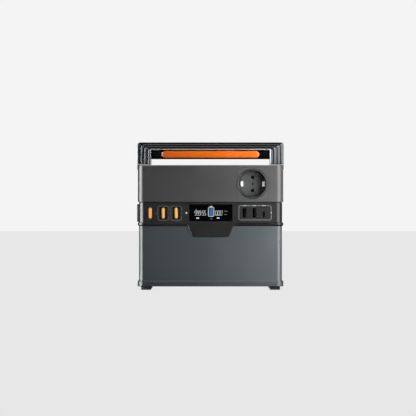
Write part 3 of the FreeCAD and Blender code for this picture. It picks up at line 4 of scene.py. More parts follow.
import bmesh
import bpy
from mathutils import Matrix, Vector


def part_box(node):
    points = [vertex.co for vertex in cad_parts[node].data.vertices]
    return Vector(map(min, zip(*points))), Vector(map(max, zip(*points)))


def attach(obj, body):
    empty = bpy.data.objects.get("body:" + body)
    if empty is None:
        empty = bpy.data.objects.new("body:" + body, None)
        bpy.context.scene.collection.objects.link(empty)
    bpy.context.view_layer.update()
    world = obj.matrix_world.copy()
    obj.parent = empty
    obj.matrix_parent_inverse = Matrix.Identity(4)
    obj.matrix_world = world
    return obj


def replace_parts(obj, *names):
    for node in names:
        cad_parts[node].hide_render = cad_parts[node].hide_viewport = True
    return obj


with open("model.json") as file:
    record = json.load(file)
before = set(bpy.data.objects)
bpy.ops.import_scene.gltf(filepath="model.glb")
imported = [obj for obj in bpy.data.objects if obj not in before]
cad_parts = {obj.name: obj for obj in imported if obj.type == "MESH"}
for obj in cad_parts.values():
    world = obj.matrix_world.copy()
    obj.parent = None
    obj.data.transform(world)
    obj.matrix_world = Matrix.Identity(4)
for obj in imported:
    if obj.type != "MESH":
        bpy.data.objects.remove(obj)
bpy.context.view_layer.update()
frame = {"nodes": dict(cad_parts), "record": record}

MM = 0.001


# ---------------------------------------------------------------------------
# Places that the materials and pieces share, read from the CAD frame
# ---------------------------------------------------------------------------

def middle(node):
    low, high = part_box(node)
    return (low + high) / 2


PANEL_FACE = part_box("front_panel")[0].y
HANDLE_HIGHLIGHT_LIP = 1.1 * MM
# The band round the socket's ring that carries painted shade, from its inner to its outer radius.
SOCKET_SHADE_BAND = (19.8 * MM, 21.6 * MM)


# ---------------------------------------------------------------------------
# Colours and node materials
# ---------------------------------------------------------------------------

DUST = (0.35, 0.33, 0.30, 1)
WORN_METAL = (0.42, 0.43, 0.44, 1)
PURE_BLACK = (0, 0, 0, 1)


def srgb(red, green, blue):
    """A display colour of 0 to 255 as the linear colour that a shader takes."""
    def linear(value):
        value /= 255
        return value / 12.92 if value <= 0.04045 else ((value + 0.055) / 1.055) ** 2.4
    return (linear(red), linear(green), linear(blue), 1)


class Finish:
    """A node material in the making, with its object coordinates and its shader."""

    def __init__(self, name):
        self.material = bpy.data.materials.new(name)
        self.material.use_nodes = True
        self.tree = self.material.node_tree
        self.shader = self.tree.nodes["Principled BSDF"]
        self.place = self.node("ShaderNodeTexCoord").outputs["Object"]

    def node(self, kind, settings=None, **inputs):
        """A new node. An input's name is written with underscores for its spaces."""
        node = self.tree.nodes.new(kind)
        for key, value in (settings or {}).items():
            setattr(node, key, value)
        for key, value in inputs.items():
            self.plug(node.inputs[key.replace("_", " ")], value)
        return node

    def plug(self, socket, value):
        """Link an input to another node's output, or give it a plain value."""
        if isinstance(value, bpy.types.NodeSocket):
            self.tree.links.new(value, socket)
        else:
            socket.default_value = value

    def noise(self, size, detail, stretch=(1, 1, 1)):
        """Noise whose features are about size metres across."""
        spread = self.node("ShaderNodeMapping", Vector=self.place, Scale=stretch)
        made = self.node(
            "ShaderNodeTexNoise", Vector=spread.outputs["Vector"],
            Scale=0.5 / size, Detail=detail, Roughness=0.55,
        )
        return made.outputs["Fac"]

    def cells(self, size, feature="F1"):
        """Cells of about size metres: the distance from their centres or edges."""
        made = self.node("ShaderNodeTexVoronoi", {"feature": feature}, Vector=self.place, Scale=1 / size)
        return made.outputs["Distance"]

    def span(self, value, low, high, begin=0.0, end=1.0):
        """Map a value from one span to another, clamped."""
        made = self.node(
            "ShaderNodeMapRange", Value=value, From_Min=begin, From_Max=end, To_Min=low, To_Max=high,
        )
        return made.outputs["Result"]

    def wander(self, noise, low, high, begin=0.3, end=0.7):
        """Spread the middle part of a noise from a low to a high value."""
        return self.span(noise, low, high, begin, end)

    def maths(self, operation, first, second=0.0):
        made = self.node("ShaderNodeMath", {"operation": operation})
        self.plug(made.inputs[0], first)
        self.plug(made.inputs[1], second)
        return made.outputs[0]

    def vector_maths(self, operation, first, second):
        made = self.node("ShaderNodeVectorMath", {"operation": operation})
        self.plug(made.inputs[0], first)
        self.plug(made.inputs[1], second)
        return made

    def mix(self, factor, first, second):
        """A mix of two colours, which are sockets 6 and 7 of the node."""
        made = self.node("ShaderNodeMix", {"data_type": "RGBA"})
        self.plug(made.inputs[0], factor)
        self.plug(made.inputs[6], first)
        self.plug(made.inputs[7], second)
        return made.outputs[2]

    def scaled(self, colour, factor):
        """A colour multiplied by a number."""
        vector = colour if isinstance(colour, bpy.types.NodeSocket) else colour[:3]
        made = self.node("ShaderNodeVectorMath", {"operation": "SCALE"}, Vector=vector, Scale=factor)
        return made.outputs[0]

    def facing(self):
        """The surface's direction, as the outputs X, Y and Z."""
        normal = self.node("ShaderNodeNewGeometry").outputs["Normal"]
        return self.node("ShaderNodeSeparateXYZ", Vector=normal).outputs

    def upward(self):
        """1 where the surface looks up, where dust settles."""
        steep, level = 0.6, 0.98
        return self.span(self.facing()["Z"], 0, 1, steep, level)

    def edges(self, radius):
        """1 on sharp edges and 0 on flat ground."""
        rounded = self.node("ShaderNodeBevel", {"samples": 4}, Radius=radius).outputs["Normal"]
        true = self.node("ShaderNodeNewGeometry").outputs["Normal"]
        sharp, flat = 0.75, 0.99
        return self.span(self.vector_maths("DOT_PRODUCT", rounded, true).outputs["Value"], 1, 0, sharp, flat)

    def worn(self, radius, patches, amount):
        """Wear on sharp edges, in patches."""
        return self.maths("MULTIPLY", self.maths("MULTIPLY", self.edges(radius), patches), amount)

    def painted_shade(self, reach, depth):
        """Painted shade from ambient occlusion: 1 in the open, falling towards 1 - depth in joints, slots and
        inner corners.
        """
        made = self.node("ShaderNodeAmbientOcclusion", {"samples": 12}, Distance=reach)
        closed, free = 0.35, 0.9
        return self.span(made.outputs["AO"], 1 - depth, 1, closed, free)

    def painted_shade_ring(self, centre, inner, outer, tone):
        """Painted shade: a round band square to Y, from the inner to the outer radius, darkened to the given
        tone.
        """
        away = self.vector_maths("SUBTRACT", self.place, centre)
        flat = self.vector_maths("MULTIPLY", away.outputs[0], (1, 0, 1))
        length = self.node("ShaderNodeVectorMath", {"operation": "LENGTH"}, Vector=flat.outputs[0])
        reach = length.outputs["Value"]
        past_inner = self.maths("GREATER_THAN", reach, inner)
        band = self.maths("MULTIPLY", past_inner, self.maths("LESS_THAN", reach, outer))
        return self.span(band, 1, tone)

    def bump(self, layers):
        """Layers of (height, distance in metres) on top of each other."""
        normal = None
        for height, distance in layers:
            made = self.node("ShaderNodeBump", Height=height, Distance=distance, Strength=1.0)
            if normal is not None:
                self.plug(made.inputs["Normal"], normal)
            normal = made.outputs["Normal"]
        self.plug(self.shader.inputs["Normal"], normal)

    def set(self, **inputs):
        """Fill the shader's inputs. A name is written with underscores for its spaces."""
        for key, value in inputs.items():
            self.plug(self.shader.inputs[key.replace("_", " ")], value)


def moulded(
    name, colour, roughness, grain=0.6 * MM, depth=0.03 * MM, dust=0.05, specular=0.5, painted_shade_depth=0.0, painted_shade_ring=None,
):
    """Moulded plastic: spark-eroded grain, faint flow mottling, polished wear on its edges, a little dust.

    Painted shade darkens the joints and inner corners, with their specular, by the given depth. A band of
    painted shade round the socket's ring takes what the Finish method that paints it takes.
    """
    made = Finish(name)
    mottle = made.wander(made.noise(30 * MM, 5), 0.9, 1.1)
    speck = made.wander(made.noise(grain, 2), 0.96, 1.04)
    base = made.scaled(made.scaled(colour, mottle), speck)
    worn = made.worn(0.6 * MM, made.wander(made.noise(4 * MM, 3), 0, 1, 0.35, 0.65), 0.25)
    pale = tuple(min(1, channel * 2.2 + 0.02) for channel in colour[:3]) + (1,)
    base = made.mix(worn, base, pale)
    patches = made.wander(made.noise(6 * MM, 6), 0, dust, 0.35, 0.75)
    base = made.mix(made.maths("MULTIPLY", made.upward(), patches), base, DUST)
    made.set(Roughness=made.wander(made.noise(20 * MM, 4), roughness - 0.03, roughness + 0.05))
    # Painted shade on a round band, where one is given.
    if painted_shade_ring:
        base = made.scaled(base, made.painted_shade_ring(*painted_shade_ring))
    # Painted shade: ambient occlusion darkens the colour and the specular in joints and inner corners.
    if painted_shade_depth:
        unshaded = made.painted_shade(4 * MM, painted_shade_depth)
        base, specular = made.scaled(base, unshaded), made.maths("MULTIPLY", unshaded, specular)
    made.set(Base_Color=base, Specular_IOR_Level=specular)
    made.bump([(made.noise(grain, 3), depth / 2), (made.cells(grain * 1.7), depth / 4)])
    return made.material


def coated_metal(name, colour, roughness):
    """Powder-coated metal: fine orange peel, bright wear on the edges."""
    made = Finish(name)
    mottle = made.wander(made.noise(50 * MM, 4), 0.94, 1.06)
    peel = made.noise(0.9 * MM, 2)
    base = made.scaled(colour, made.maths("MULTIPLY", mottle, made.wander(peel, 0.98, 1.02)))
    worn = made.worn(0.5 * MM, made.wander(made.noise(3 * MM, 4), 0, 1, 0.4, 0.7), 0.3)
    made.set(Base_Color=made.mix(worn, base, WORN_METAL), Metallic=worn)
    made.set(Roughness=made.wander(made.noise(25 * MM, 5), roughness - 0.03, roughness + 0.05))
    made.bump([(peel, 0.003 * MM), (made.noise(6 * MM, 2), 0.006 * MM)])
    return made.material


def ribbed_metal(name, colour, roughness):
    """Anodised ribs drawn along their length, with painted shade in the grooves and a painted highlight along
    the inner lip.

    A painted highlight makes the legs lighter than the cross bars, which carry painted shade, and the legs'
    outer sides get a softer one.
    """
    bar_painted_shade, leg_side_painted_shade, leg_painted_highlight = 0.12, 0.5, 2.5
    sideways = 0.9
    made = Finish(name)
    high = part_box("handle_frame")[1]
    grip_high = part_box("grip_core")[1]
    leg, bar = high.x - grip_high.x, high.z - grip_high.z
    spot = made.node("ShaderNodeSeparateXYZ", Vector=made.place)
    from_side = made.maths("SUBTRACT", high.x, made.maths("ABSOLUTE", spot.outputs["X"]))
    from_top = made.maths("SUBTRACT", high.z, spot.outputs["Z"])
    leg_share, bar_share = made.maths("DIVIDE", from_side, leg), made.maths("DIVIDE", from_top, bar)
    on_leg = made.maths("LESS_THAN", leg_share, bar_share)
    along_bar = made.noise(0.4 * MM, 4, stretch=(0.03, 1, 1))
    along_leg = made.noise(0.4 * MM, 4, stretch=(1, 1, 0.03))
    streak = made.mix(on_leg, along_bar, along_leg)
    base = made.scaled(colour, made.wander(streak, 0.97, 1.03))
    # Painted light: the fronts of the legs lighter, their outer sides and the cross bars darker.
    on_face = made.maths("LESS_THAN", made.maths("ABSOLUTE", made.facing()["X"]), sideways)
    base = made.scaled(base, made.span(on_leg, bar_painted_shade, made.span(on_face, leg_side_painted_shade, leg_painted_highlight)))
    # Painted shade in the grooves between the ribs.
    base = made.scaled(base, made.painted_shade(3 * MM, 0.45))
    # Painted highlight: a pale band along the inner lip of the legs and the top bar.
    inside_leg = made.maths("GREATER_THAN", from_side, leg - HANDLE_HIGHLIGHT_LIP)
    under_bar = made.maths("GREATER_THAN", from_top, bar - HANDLE_HIGHLIGHT_LIP)
    base = made.mix(made.maths("MULTIPLY", inside_leg, under_bar), base, srgb(196, 197, 198))
    made.set(Base_Color=base, Metallic=made.span(on_face, 0.0, 0.35), Specular_IOR_Level=0.4)
    made.set(Roughness=made.wander(made.noise(20 * MM, 4), roughness - 0.03, roughness + 0.03))
    made.bump([(streak, 0.001 * MM)])
    return made.material


def brushed(name, colour, roughness, metallic=1.0):
    """Bare metal with streaks drawn along Z."""
    made = Finish(name)
    streak = made.noise(1.5 * MM, 4, stretch=(1, 1, 1 / 30))
    made.set(Base_Color=made.scaled(colour, made.wander(streak, 0.82, 1.12)), Metallic=metallic)
    made.set(Roughness=made.wander(streak, roughness - 0.08, roughness + 0.1))
    made.bump([(streak, 0.01 * MM)])
    return made.material


def rubbery(name, colour, roughness, sheen=0.2, specular=0.5):
    """Soft-touch rubber: matt, with a fine skin and rubbed places."""
    made = Finish(name)
    grain = 0.4 * MM
    rubbed = made.wander(made.noise(12 * MM, 5), 0.98, 1.02)
    skin = made.noise(grain, 3)
    made.set(Base_Color=made.scaled(made.scaled(colour, rubbed), made.wander(skin, 0.97, 1.03)))
    made.set(Roughness=made.wander(made.noise(10 * MM, 4), roughness - 0.06, roughness + 0.06))
    made.set(Sheen_Weight=sheen, Sheen_Roughness=0.5, Specular_IOR_Level=specular)
    made.bump([(skin, 0.004 * MM), (made.cells(grain * 2), 0.003 * MM)])
    return made.material


def glossy(name, colour, roughness, coat=0.0):
    """Polished plastic with faint rub marks."""
    made = Finish(name)
    marks = made.noise(0.8 * MM, 4, stretch=(0.1, 1, 1))
    made.set(Base_Color=made.scaled(colour, made.wander(made.noise(20 * MM, 3), 0.95, 1.05)))
    made.set(Roughness=made.wander(marks, roughness - 0.03, roughness + 0.05, 0.35, 0.7), Coat_Weight=coat)
    made.bump([(made.noise(10 * MM, 2), 0.004 * MM)])
    return made.material


def prismatic(name, colour, roughness):
    """Frosted lens: fine upright prisms over rows of soft lamp spots."""
    made = Finish(name)
    flutes = made.node(
        "ShaderNodeTexWave", {"bands_direction": "X"}, Vector=made.place, Scale=160, Distortion=0.1,
    )
    lines = flutes.outputs["Fac"]
    spots = made.wander(made.noise(9 * MM, 1, stretch=(1, 1, 0.6)), 0.88, 1.06, 0.35, 0.65)
    base = made.scaled(made.scaled(colour, spots), made.span(lines, 0.8, 1.05))
    made.set(Base_Color=base, Roughness=made.span(lines, roughness - 0.05, roughness + 0.05))
    made.set(Subsurface_Weight=0.1, Subsurface_Scale=2 * MM)
    made.bump([(lines, 0.3 * MM)])
    return made.material


def board(name):
    """Circuit board: green solder mask, paler tracks and bright pads."""
    made = Finish(name)
    tracks = made.span(made.cells(4 * MM, "DISTANCE_TO_EDGE"), 1, 0, 0.04, 0.10)
    pads = made.span(made.cells(2.5 * MM), 1, 0, 0.10, 0.14)
    base = made.mix(tracks, srgb(14, 62, 34), srgb(28, 96, 54))
    base = made.mix(pads, base, srgb(196, 176, 120))
    made.set(Base_Color=base, Metallic=pads, Roughness=made.span(made.noise(10 * MM, 3), 0.28, 0.42))
    made.bump([(tracks, 0.03 * MM)])
    return made.material


def glowing(name, colour, strength):
    """A lit display element, with slight unevenness of the backlight."""
    made = Finish(name)
    uneven = made.wander(made.noise(4 * MM, 3), 0.75, 1.075)
    made.set(Base_Color=(0.01, 0.01, 0.01, 1), Roughness=0.4)
    made.set(Emission_Color=made.scaled(colour, uneven), Emission_Strength=strength)
    return made.material


def backlit(name, colour, light, strength):
    """A translucent cap with a lamp behind it: a little uneven, with painted shade that dims its colour and
    glow on its sides.
    """
    made = Finish(name)
    uneven = made.wander(made.noise(3 * MM, 3), 0.96, 1.04)
    # Painted shade: colour and glow fall to 0.06 where the surface turns sideways.
    uneven = made.maths("MULTIPLY", uneven, made.span(made.facing()["Y"], 1.0, 0.06, -1.0, -0.75))
    made.set(Base_Color=made.scaled(colour, uneven), Roughness=made.wander(made.noise(2 * MM, 4), 0.32, 0.4))
    made.set(Emission_Color=made.scaled(light, uneven), Emission_Strength=strength)
    made.bump([(made.noise(0.5 * MM, 3), 0.01 * MM)])
    return made.material


def printed(name, colour):
    """Pad-printed ink that lies a little unevenly."""
    made = Finish(name)
    thin = made.wander(made.noise(0.6 * MM, 4), 0.8, 1.05)
    made.set(Base_Color=made.scaled(colour, thin), Roughness=0.5)
    made.bump([(made.noise(0.3 * MM, 2), 0.01 * MM)])
    return made.material


# ---------------------------------------------------------------------------
# One material for each slot of the record
# ---------------------------------------------------------------------------

def make_finishes():
    """The materials, by the name of their slot."""
    fine = 0.005 * MM
    return {
        "tray_plastic": coated_metal("tray_coat", srgb(55, 60, 64), 0.33),
        "foot_rubber": rubbery("foot_rubber", srgb(16, 16, 16), 0.85),
        "screw_steel": brushed("screw_steel", srgb(150, 150, 152), 0.35),
        "shell_metal": coated_metal("shell_coat", srgb(62, 67, 69), 0.33),
        "trim_plastic": moulded("trim_plastic", srgb(12, 12, 11), 0.34, depth=fine, painted_shade_depth=0.6),
        "panel_plastic": moulded("panel_plastic", srgb(20, 20, 20), 0.33, depth=fine, painted_shade_depth=0.7),
        "display_glass": glossy("display_glass", srgb(1, 1, 2), 0.12),
        "inner_plastic": moulded("inner_plastic", srgb(52, 52, 53), 0.6),
        "board": board("circuit_board"),
        "light_pipe": glossy("light_pipe", srgb(232, 234, 236), 0.2, coat=0.4),
        "contact_metal": brushed("contact_nickel", srgb(176, 176, 172), 0.38),
        # Dark plated shells and black tongue plastic, both darkened further as painted shade inside the ports
        # and the button wells.
        "shell_nickel": brushed("shell_nickel", srgb(30, 30, 31), 0.4),
        "tongue_plastic": moulded("tongue_plastic", srgb(6, 6, 6), 0.5, dust=0.0, specular=0.1),
        "contact_brass": brushed("contact_brass", srgb(205, 165, 96), 0.3),
        "socket_plastic": moulded(
            "socket_plastic", srgb(62, 63, 63), 0.34, depth=fine, painted_shade_depth=0.85,
            # Painted shade: the socket's ring darkened to 0.3 of its colour.
            painted_shade_ring=(tuple(middle("socket_bezel")), *SOCKET_SHADE_BAND, 0.3),
        ),
        "case_plastic": moulded(
            "case_plastic", srgb(62, 62, 62), 0.33, grain=0.8 * MM, depth=2 * fine, painted_shade_depth=0.6,
        ),
        "handle_metal": ribbed_metal("handle_anodised", srgb(70, 72, 74), 0.33),
        # Black rubber, darkened to near pure black as painted shade under the overhanging ribs.
        "grip_black": rubbery("grip_black", srgb(3, 3, 3), 0.75, sheen=0.0, specular=0.05),
        "grip_orange": rubbery("grip_orange", srgb(246, 112, 14), 0.34, sheen=0.0, specular=0.8),
        "button_orange": backlit("button_amber", srgb(246, 166, 66), srgb(255, 188, 84), 0.28),
        "cover_rubber": rubbery("cover_rubber", srgb(96, 97, 98), 0.6),
        "grille_plastic": moulded("grille_plastic", srgb(44, 44, 45), 0.5),
        "lamp_diffuser": prismatic("lamp_diffuser", srgb(196, 199, 198), 0.4),
        "cell_can": glossy("cell_sleeve", srgb(58, 112, 168), 0.35),
        "busbar_metal": brushed("busbar_nickel", srgb(200, 200, 194), 0.3),
        "transformer_core": moulded("transformer_core", srgb(58, 55, 52), 0.6),
        "heat_sink_metal": brushed("heat_sink_metal", srgb(176, 178, 180), 0.35),
        "capacitor_sleeve": glossy("capacitor_sleeve", srgb(28, 30, 44), 0.3),
        "lead_sleeve": rubbery("lead_sleeve", srgb(150, 26, 20), 0.5),
    }


def finish_cad(finishes):
    """Give every CAD node the material of its slot."""
    for entry in frame["record"]["subparts"]:
        node = frame["nodes"][entry["node"]]
        node.data.materials.clear()
        node.data.materials.append(finishes[entry["material_slot"]])


# ---------------------------------------------------------------------------
# Mesh helpers. Outlines lie in a plane square to Y and are lists of (x, z).
# ---------------------------------------------------------------------------

def new_object(name, work, material):
    """An object in the scene from a finished bmesh."""
    mesh = bpy.data.meshes.new(name)
    work.to_mesh(mesh)
    work.free()
    mesh.materials.append(material)
    made = bpy.data.objects.new(name, mesh)
    bpy.context.scene.collection.objects.link(made)
    return made


def add_piece(name, mesh_maker, material, body="case"):
    """A new closed mesh made by a bmesh function, riding on a body."""
    work = bmesh.new()
    mesh_maker(work)
    bmesh.ops.recalc_face_normals(work, faces=work.faces)
    piece = new_object(name, work, material)
    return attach(piece, body)


def smooth(piece, angle):
    """Smooth shading, kept sharp over edges steeper than the angle in degrees."""
    mesh = piece.data
    mesh.shade_smooth()
    limit = math.radians(angle)
    work = bmesh.new()
    work.from_mesh(mesh)
    for edge in work.edges:
        edge.smooth = len(edge.link_faces) == 2 and edge.calc_face_angle(0) < limit
    work.to_mesh(mesh)
    work.free()
    return piece


def level_ring(work, outline, level):
    """The vertices of an outline at one level of Y."""
    return [work.verts.new((x, level, z)) for x, z in outline]


def joined(work, rings, capped=True):
    """Faces from each ring of vertices to the next, with a face over both ends."""
    for ring, following in zip(rings, rings[1:]):
        count = len(ring)
        for i in range(count):
            j = (i + 1) % count
            work.faces.new((ring[i], ring[j], following[j], following[i]))
    if capped:
        work.faces.new(rings[0])
        work.faces.new(list(reversed(rings[-1])))


def extruded(work, outline, front, back):
    """A closed plate: an outline carried from its back level to its front level."""
    joined(work, [level_ring(work, outline, level) for level in (back, front)])


def rounded_outline(width, tall, radius, centre, steps=6):
    """A rectangle with round corners, from the top of its right side to the bottom of it."""
    outline = []
    for quarter, (side_x, side_z) in enumerate(((1, 1), (-1, 1), (-1, -1), (1, -1))):
        x = centre[0] + side_x * (width / 2 - radius)
        z = centre[1] + side_z * (tall / 2 - radius)
        for step in range(steps + 1):
            angle = math.pi / 2 * (quarter + step / steps)
            outline.append((x + radius * math.cos(angle), z + radius * math.sin(angle)))
    return outline


def circle_outline(radius, centre, steps):
    turn = 2 * math.pi / steps
    return [
        (centre[0] + radius * math.cos(turn * i), centre[1] + radius * math.sin(turn * i))
        for i in range(steps)
    ]


def ribbon(work, path, width, front, back):
    """A closed flat line of one width along an open path of (x, z)."""
    rings = []
    for i, point in enumerate(path):
        before = Vector(path[max(i - 1, 0)])
        after = Vector(path[min(i + 1, len(path) - 1)])
        run = (after - before).normalized()
        side = Vector((-run.y, run.x)) * width / 2
        left, right = Vector(point) + side, Vector(point) - side
        rings.append([
            work.verts.new((spot.x, level, spot.y))
            for spot, level in ((left, front), (right, front), (right, back), (left, back))
        ])
    joined(work, rings)


def ink_levels(face):
    """The front and back of ink that stands on a face and is rooted a hair inside it."""
    ink = 0.06 * MM
    return face - ink, face + ink / 3


# ---------------------------------------------------------------------------
# Display: generic digits, a battery gauge and small marks
# ---------------------------------------------------------------------------

SEGMENTS = {"0": "abcdef", "5": "acdfg", "9": "abcdfg"}


def segment_strokes(width, tall):
    """The end points of the seven strokes of a digit, from its lower left corner."""
    half = tall / 2
    return {
        "a": ((0, tall), (width, tall)),
        "b": ((width, tall), (width, half)),
        "c": ((width, half), (width, 0)),
        "d": ((0, 0), (width, 0)),
        "e": ((0, half), (0, 0)),
        "f": ((0, tall), (0, half)),
        "g": ((0, half), (width, half)),
    }


def draw_digits(work, text, left, bottom, width, tall, stroke, levels):
    """Slanted seven-segment digits. A colon takes less room."""
    slant = 0.08
    gap = stroke * 0.35
    x = left
    for letter in text:
        if letter == ":":
            for height in (0.28, 0.72):
                spot = (x + stroke * 0.4 + slant * tall * height, bottom + tall * height)
                extruded(work, circle_outline(stroke * 0.6, spot, 12), *levels)
            x += stroke * 2.2
            continue
        strokes = segment_strokes(width, tall)
        for key in SEGMENTS[letter]:
            ends = [Vector((x + u + slant * v, bottom + v)) for u, v in strokes[key]]
            run = (ends[1] - ends[0]).normalized()
            ribbon(work, [tuple(ends[0] + run * gap), tuple(ends[1] - run * gap)], stroke, *levels)
        x += width + stroke * 1.9


def display_pieces():
    low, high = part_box("display_window")
    levels = ink_levels(low.y)
    centre_x, centre_z = (low.x + high.x) / 2, (low.z + high.z) / 2
    white = glowing("display_white", srgb(214, 216, 218), 1.15)
    cyan = glowing("display_cyan", srgb(190, 232, 242), 1.1)
    blue = glowing("display_blue", srgb(6, 104, 178), 0.85)
    tall, stroke = 6.4 * MM, 0.48 * MM
    time_wide, power_wide = 2.2 * MM, 2.6 * MM
    base = centre_z - 3.6 * MM

    def digits(work):
        draw_digits(work, "999:55", centre_x - 23.2 * MM, base, time_wide, tall, stroke, levels)
        draw_digits(work, "000", centre_x + 6.2 * MM, base, power_wide, tall, stroke, levels)

    add_piece("display_digits", digits, white)
    gauge_x, gauge_z = centre_x + 0.3 * MM, centre_z + 1.4 * MM
    gauge_width, gauge_tall, wall = 7.8 * MM, 13.0 * MM, 0.7 * MM

    def gauge_frame(work):
        """A battery's outline with its terminal on top."""
        outline = rounded_outline(gauge_width, gauge_tall, 1.6 * MM, (gauge_x, gauge_z))
        ribbon(work, outline + outline[:2], wall, *levels)
        terminal = (gauge_x, gauge_z + gauge_tall / 2 + 0.9 * MM)
        width, tall, corner = 3.2 * MM, 1.4 * MM, 0.5 * MM
        extruded(work, rounded_outline(width, tall, corner, terminal), *levels)

    add_piece("display_gauge_frame", gauge_frame, white)

    def gauge_bars(work):
        """Four bars that fill the gauge."""
        count, width, margin, gap, corner = 4, 5.0 * MM, 0.2 * MM, 0.25 * MM, 0.4 * MM
        pitch = (gauge_tall - 2 * (wall + margin)) / count
        for i in range(count):
            spot = (gauge_x, gauge_z + pitch * (i - (count - 1) / 2))
            extruded(work, rounded_outline(width, pitch - gap, corner, spot), *levels)

    add_piece("display_gauge_bars", gauge_bars, blue)

    def small_marks(work):
        """Hatching under the gauge, two bars beside the right digits and a dot over the left ones."""
        hatch_stroke, hatch_run, hatch_drop = 0.45 * MM, 1.2 * MM, 1.6 * MM
        for i in range(3):
            x, z = gauge_x + (-1.4 + 1.3 * i) * MM, low.z + (4.7 - 0.4 * i) * MM
            ribbon(work, [(x, z), (x + hatch_run, z - hatch_drop)], hatch_stroke, *levels)
        bar_x, bar_stroke = centre_x + 19.2 * MM, 0.8 * MM
        for length, rise in ((4.4 * MM, 5.9 * MM), (3.2 * MM, 1.3 * MM)):
            ribbon(work, [(bar_x, base + rise), (bar_x + length, base + rise)], bar_stroke, *levels)
        dot, dot_radius = (centre_x - 20.8 * MM, base + tall + 1.9 * MM), 0.7 * MM
        extruded(work, circle_outline(dot_radius, dot, 16), *levels)

    dim = glowing("display_dim", srgb(120, 122, 124), 0.9)
    add_piece("display_small_marks", small_marks, dim)

    def markers(work):
        """A lit dash under each group of digits."""
        width, tall, corner = 4.0 * MM, 1.6 * MM, 0.5 * MM
        for offset in (-18.9 * MM, 10.4 * MM):
            spot = (centre_x + offset, low.z + 4.5 * MM)
            extruded(work, rounded_outline(width, tall, corner, spot), *levels)

    add_piece("display_markers", markers, cyan)


# ---------------------------------------------------------------------------
# Printed lines and generic symbols of the control panel
# ---------------------------------------------------------------------------

LINE = 0.7 * MM
BRACKET_ROUND = 2.6 * MM


def bracket_path(centre, width, tall, gap):
    """A rounded rectangle that starts and ends beside a gap in the middle of its right side."""
    outline = rounded_outline(width, tall, BRACKET_ROUND, centre)
    right = centre[0] + width / 2
    return [(right, centre[1] + gap / 2)] + outline + [(right, centre[1] - gap / 2)]


def sun_symbol(work, centre, levels):
    """A small lamp: a ring with eight rays."""
    stroke, ring_radius, ray_ends = 0.3 * MM, 0.85 * MM, (1.35, 1.95)
    ring = circle_outline(ring_radius, centre, 24)
    ribbon(work, ring + ring[:2], stroke, *levels)
    for i in range(8):
        angle = math.pi / 4 * i
        way = Vector((math.cos(angle), math.sin(angle)))
        ribbon(work, [tuple(Vector(centre) + way * reach * MM) for reach in ray_ends], stroke, *levels)


def direct_current_symbol(work, centre, levels):
    """One long stroke above three short ones."""
    x, z = centre
    stroke, half, apart = 0.35 * MM, 1.7 * MM, 0.5 * MM
    ribbon(work, [(x - half, z + apart), (x + half, z + apart)], stroke, *levels)
    for i in (-1, 0, 1):
        start = x + (1.25 * i - 0.45) * MM
        ribbon(work, [(start, z - apart), (start + 0.9 * MM, z - apart)], stroke, *levels)


def alternating_current_symbol(work, centre, levels):
    """One period of a wave."""
    stroke, half, swing, steps = 0.38 * MM, 1.7 * MM, 0.8 * MM, 16
    path = []
    for i in range(steps + 1):
        turn = 2 * math.pi * i / steps
        path.append((centre[0] + (turn / math.pi - 1) * half, centre[1] + math.sin(turn) * swing))
    ribbon(work, path, stroke, *levels)


def bolt_symbol(work, centre, levels):
    """A lightning bolt."""
    shape = ((0.5, 2.0), (-1.2, -0.3), (-0.1, -0.3), (-0.5, -2.0), (1.2, 0.4), (0.1, 0.4))
    extruded(work, [(centre[0] + x * MM, centre[1] + z * MM) for x, z in shape], *levels)


def panel_prints():
    levels = ink_levels(PANEL_FACE)
    ink = printed("panel_ink", srgb(168, 171, 172))
    line = printed("panel_line_ink", srgb(106, 109, 110))
    buttons = [middle(name) for name in ("button_light", "button_dc", "button_ac")]
    frame_width, frame_tall, frame_gap = 15.3 * MM, 20.0 * MM, 7.0 * MM

    def brackets(work):
        """A line round each output button, open at its symbol."""
        for spot in buttons[1:]:
            path = bracket_path((spot.x, spot.z), frame_width, frame_tall, frame_gap)
            ribbon(work, path, LINE, *levels)

    add_piece("button_brackets", brackets, line)

    def symbols(work):
        level = buttons[0].z
        sun_symbol(work, (buttons[0].x + 7.9 * MM, level), levels)
        direct_current_symbol(work, (buttons[1].x + frame_width / 2, level), levels)
        alternating_current_symbol(work, (buttons[2].x + frame_width / 2, level), levels)

    add_piece("button_symbols", symbols, line)
    usb_low, usb_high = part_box("usb_a_shells")
    left, right = usb_low.x - 5.1 * MM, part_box("usb_c_shell")[1].x + 8.8 * MM
    bottom, top = usb_low.z - 3.6 * MM, usb_high.z + 3.5 * MM
    centre = ((left + right) / 2, (bottom + top) / 2)
    marks = [middle("usb_a_shells").x + offset * MM for offset in (-7.1, 7.1)] + [middle("usb_c_shell").x]
    mark_half, bolt_gap, shortest = 3.3 * MM, 5.4 * MM, 0.8 * MM

    def usb_bracket(work):
        """A line round the USB sockets, open at the bolt and at the marks above the sockets."""
        outline = rounded_outline(right - left, top - bottom, BRACKET_ROUND, centre)
        corner = len(outline) // 4
        ribbon(work, [(right, centre[1] + bolt_gap / 2)] + outline[:corner], LINE, *levels)
        ribbon(work, outline[corner:] + [(right, centre[1] - bolt_gap / 2)], LINE, *levels)
        sides = [x + side * mark_half for x in reversed(marks) for side in (1, -1)]
        ends = [right - BRACKET_ROUND] + sides + [left + BRACKET_ROUND]
        for begin, end in zip(ends[::2], ends[1::2]):
            if begin - end > shortest:
                ribbon(work, [(begin, top), (end, top)], LINE, *levels)

    add_piece("usb_bracket", usb_bracket, line)

    def port_marks(work):
        """Three short dashes above each USB socket, and the bolt."""
        tall, pitch, corner = 1.1 * MM, 1.75 * MM, 0.25 * MM
        for x in marks:
            for i, length in enumerate((1.4 * MM, 1.0 * MM, 1.4 * MM)):
                spot = (x + (i - 1) * pitch, top)
                extruded(work, rounded_outline(length, tall, corner, spot), *levels)
        bolt_symbol(work, (right, centre[1]), levels)

    add_piece("usb_marks", port_marks, ink)


